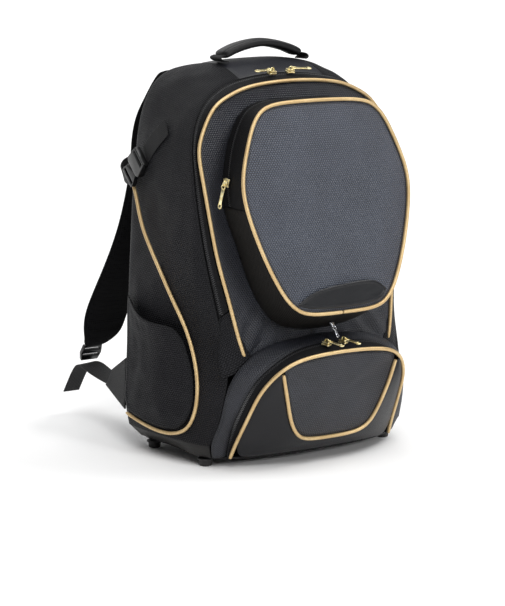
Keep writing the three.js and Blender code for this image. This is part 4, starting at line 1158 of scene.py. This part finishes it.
def bar(size, centre, waist=1.0):
    bpy.ops.mesh.primitive_cube_add(size=1, location=centre)
    piece = bpy.context.object
    mesh = edit(piece)
    bpy.ops.mesh.select_all(action="SELECT")
    bpy.ops.transform.resize(value=size, center_override=centre)
    bpy.ops.mesh.subdivide(number_cuts=2)
    mesh = bmesh.from_edit_mesh(piece.data)
    bpy.ops.mesh.select_all(action="DESELECT")
    bpy.ops.mesh.select_mode(type="VERT")
    pick(mesh, [v for v in mesh.verts if abs(v.co.x) < size[0] * 0.3])
    bpy.ops.transform.resize(value=(1, waist, 1), center_override=centre)
    done()
    bpy.ops.object.transform_apply(location=True, rotation=True, scale=True)
    shape(piece, "BEVEL", width=min(size) * 0.24, segments=2, limit_method="ANGLE", angle_limit=0.6)
    return piece


def ring(centre, radius, wire, stretch=1.0, upright=False):
    turn = (math.pi / 2, 0, 0) if upright else (0, 0, 0)
    bpy.ops.mesh.primitive_torus_add(location=centre, rotation=turn, major_radius=radius, minor_radius=wire,
                                     major_segments=20, minor_segments=8)
    piece = bpy.context.object
    piece.scale = (stretch, 1, 1)
    bpy.ops.object.transform_apply(location=True, rotation=True, scale=True)
    return piece


def sliderFrame(node, look):
    # From the CAD's own slider: its body's middle, the way its pull lies, and its upper side
    points = np.unique(np.round(coordsOf(frame["nodes"][node]), 6), axis=0)
    middle = points.mean(axis=0)
    axes = np.linalg.svd(points - middle)[2]
    run = (points - middle) @ axes[0]

    def girth(part):
        return np.ptp(part @ axes[2]) + np.ptp(part @ axes[1])

    body, pull = points[run < np.quantile(run, 0.35)], points[run > np.quantile(run, 0.65)]
    if girth(body) < girth(pull):
        body, pull = pull, body
    start = Vector((body.min(axis=0) + body.max(axis=0)) / 2)
    along = (Vector((pull.min(axis=0) + pull.max(axis=0)) / 2) - start).normalized()
    guess = Vector(look["up"])
    up = (guess - along * guess.dot(along)).normalized()
    return start - up * look["sink"], along, up


def assemble(parts, title, start, along, up):
    # Joins a fitting's parts and lays them in place, their x along the pull and their z upwards
    only(*parts)
    bpy.ops.object.join()
    piece = bpy.context.object
    piece.name = title
    turn = Matrix((along, up.cross(along), up)).transposed().to_4x4()
    piece.matrix_world = Matrix.Translation(start) @ turn
    only(piece)
    bpy.ops.object.transform_apply(location=True, rotation=True, scale=True)
    return piece


def slider(node, look):
    parts = [
        bar(look["body"], (0, 0, 0.0004), 0.74),
        bar(look["bridge"], (0, 0, 0.0034), 0.8),
        ring((0.0006, 0, 0.0046), 0.0030, 0.0007, 1.1, upright=True),
        ring((0.0052, 0, 0.0056), 0.0026, 0.0008, 1.2),
        bar((look["pull"], 0.0052, 0.0015), (0.0072 + look["pull"] / 2, 0, 0.0052), 0.82),
        ring((0.0086 + look["pull"], 0, 0.0050), 0.0024, 0.0009, 1.3),
    ]
    piece = assemble(parts, node + "_brass", *sliderFrame(node, look))
    return settle(piece, "brass", brass, node, angle=50)


sliderBase = {"body": (0.0105, 0.0085, 0.0026), "bridge": (0.0095, 0.0074, 0.0016), "sink": 0.0014}
sliderLooks = {
    "main": {**sliderBase, "pull": 0.017, "up": (0, -0.35, 1)},
    "upper": {**sliderBase, "pull": 0.021, "up": (-1, -0.25, 0)},
    "lower": {**sliderBase, "pull": 0.014, "up": (0, -0.3, 1)},
}
for node in sorted(frame["nodes"]):
    if "slider" in node:
        slider(node, sliderLooks[node.split("_")[0]])

# The small silver pull hangs from its box's upper rear to its lower front
pullLook = {"head": (0.0030, 0.0032), "tip": (0.0012, 0.001), "aside": 0.0012}
pullParts = [
    bar((0.0080, 0.0066, 0.0030), (0, 0, 0), 0.8),
    ring((0.0046, 0, 0.0012), 0.0022, 0.0007, 1.2),
    bar((0.0085, 0.0040, 0.0012), (0.0105, 0, 0.0012), 0.85),
    ring((0.0150, 0, 0.0012), 0.0019, 0.0006, 1.2),
]
low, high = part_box("silver_pull")
tip = Vector((pullLook["aside"], low.y + pullLook["tip"][0], low.z + pullLook["tip"][1]))
head = Vector((-pullLook["aside"], high.y - pullLook["head"][0], high.z - pullLook["head"][1]))
down = (tip - head).normalized()
forward = (-frontWay - down * (-frontWay).dot(down)).normalized()
pull = assemble(pullParts, "silver_pull_metal", head, down, forward)
settle(pull, "silver", silver, "silver_pull", angle=50)

basePlate = copyOf("base_panel", "base_board")
soften(basePlate, 0.0006, 2, 40)
settle(basePlate, "leatherette", lining, "base_panel")
print("fittings made")


# Floor and studio light

bpy.ops.mesh.primitive_plane_add(size=60)
floor = bpy.context.object
floor.name = "floor"
pale = Paint("paleFloor", Roughness=0.9)
pale.feed("Base Color", pale.mix(pale.cloud(0.5, 2), rgb(250, 250, 250), rgb(252, 252, 252)))
floor.data.materials.append(pale.material)


def sun(azimuth, elevation, strength, spread):
    a, e = math.radians(azimuth), math.radians(elevation)
    back = Vector((math.sin(a) * math.cos(e), -math.cos(a) * math.cos(e), math.sin(e)))
    bpy.ops.object.light_add(type="SUN", location=back * 3)
    light = bpy.context.object
    light.rotation_euler = back.to_track_quat("Z", "Y").to_euler()
    light.data.energy = strength
    light.data.angle = math.radians(spread)


# Each light's azimuth, elevation, strength and spread
studioLook = {
    "suns": ((-32, 50, 0.9, 25), (12, 22, 1.0, 14), (72, 52, 1.0, 30), (178, 32, 0.8, 60), (0, 86, 1.5, 60)),
    "fill": 0.12,
}
for settings in studioLook["suns"]:
    sun(*settings)
world = bpy.data.worlds.new("studio")
bpy.context.scene.world = world
world.use_nodes = True
world.node_tree.nodes["Background"].inputs["Color"].default_value = (1, 1, 1, 1)
world.node_tree.nodes["Background"].inputs["Strength"].default_value = studioLook["fill"]
bpy.context.scene.view_settings.view_transform = "Standard"
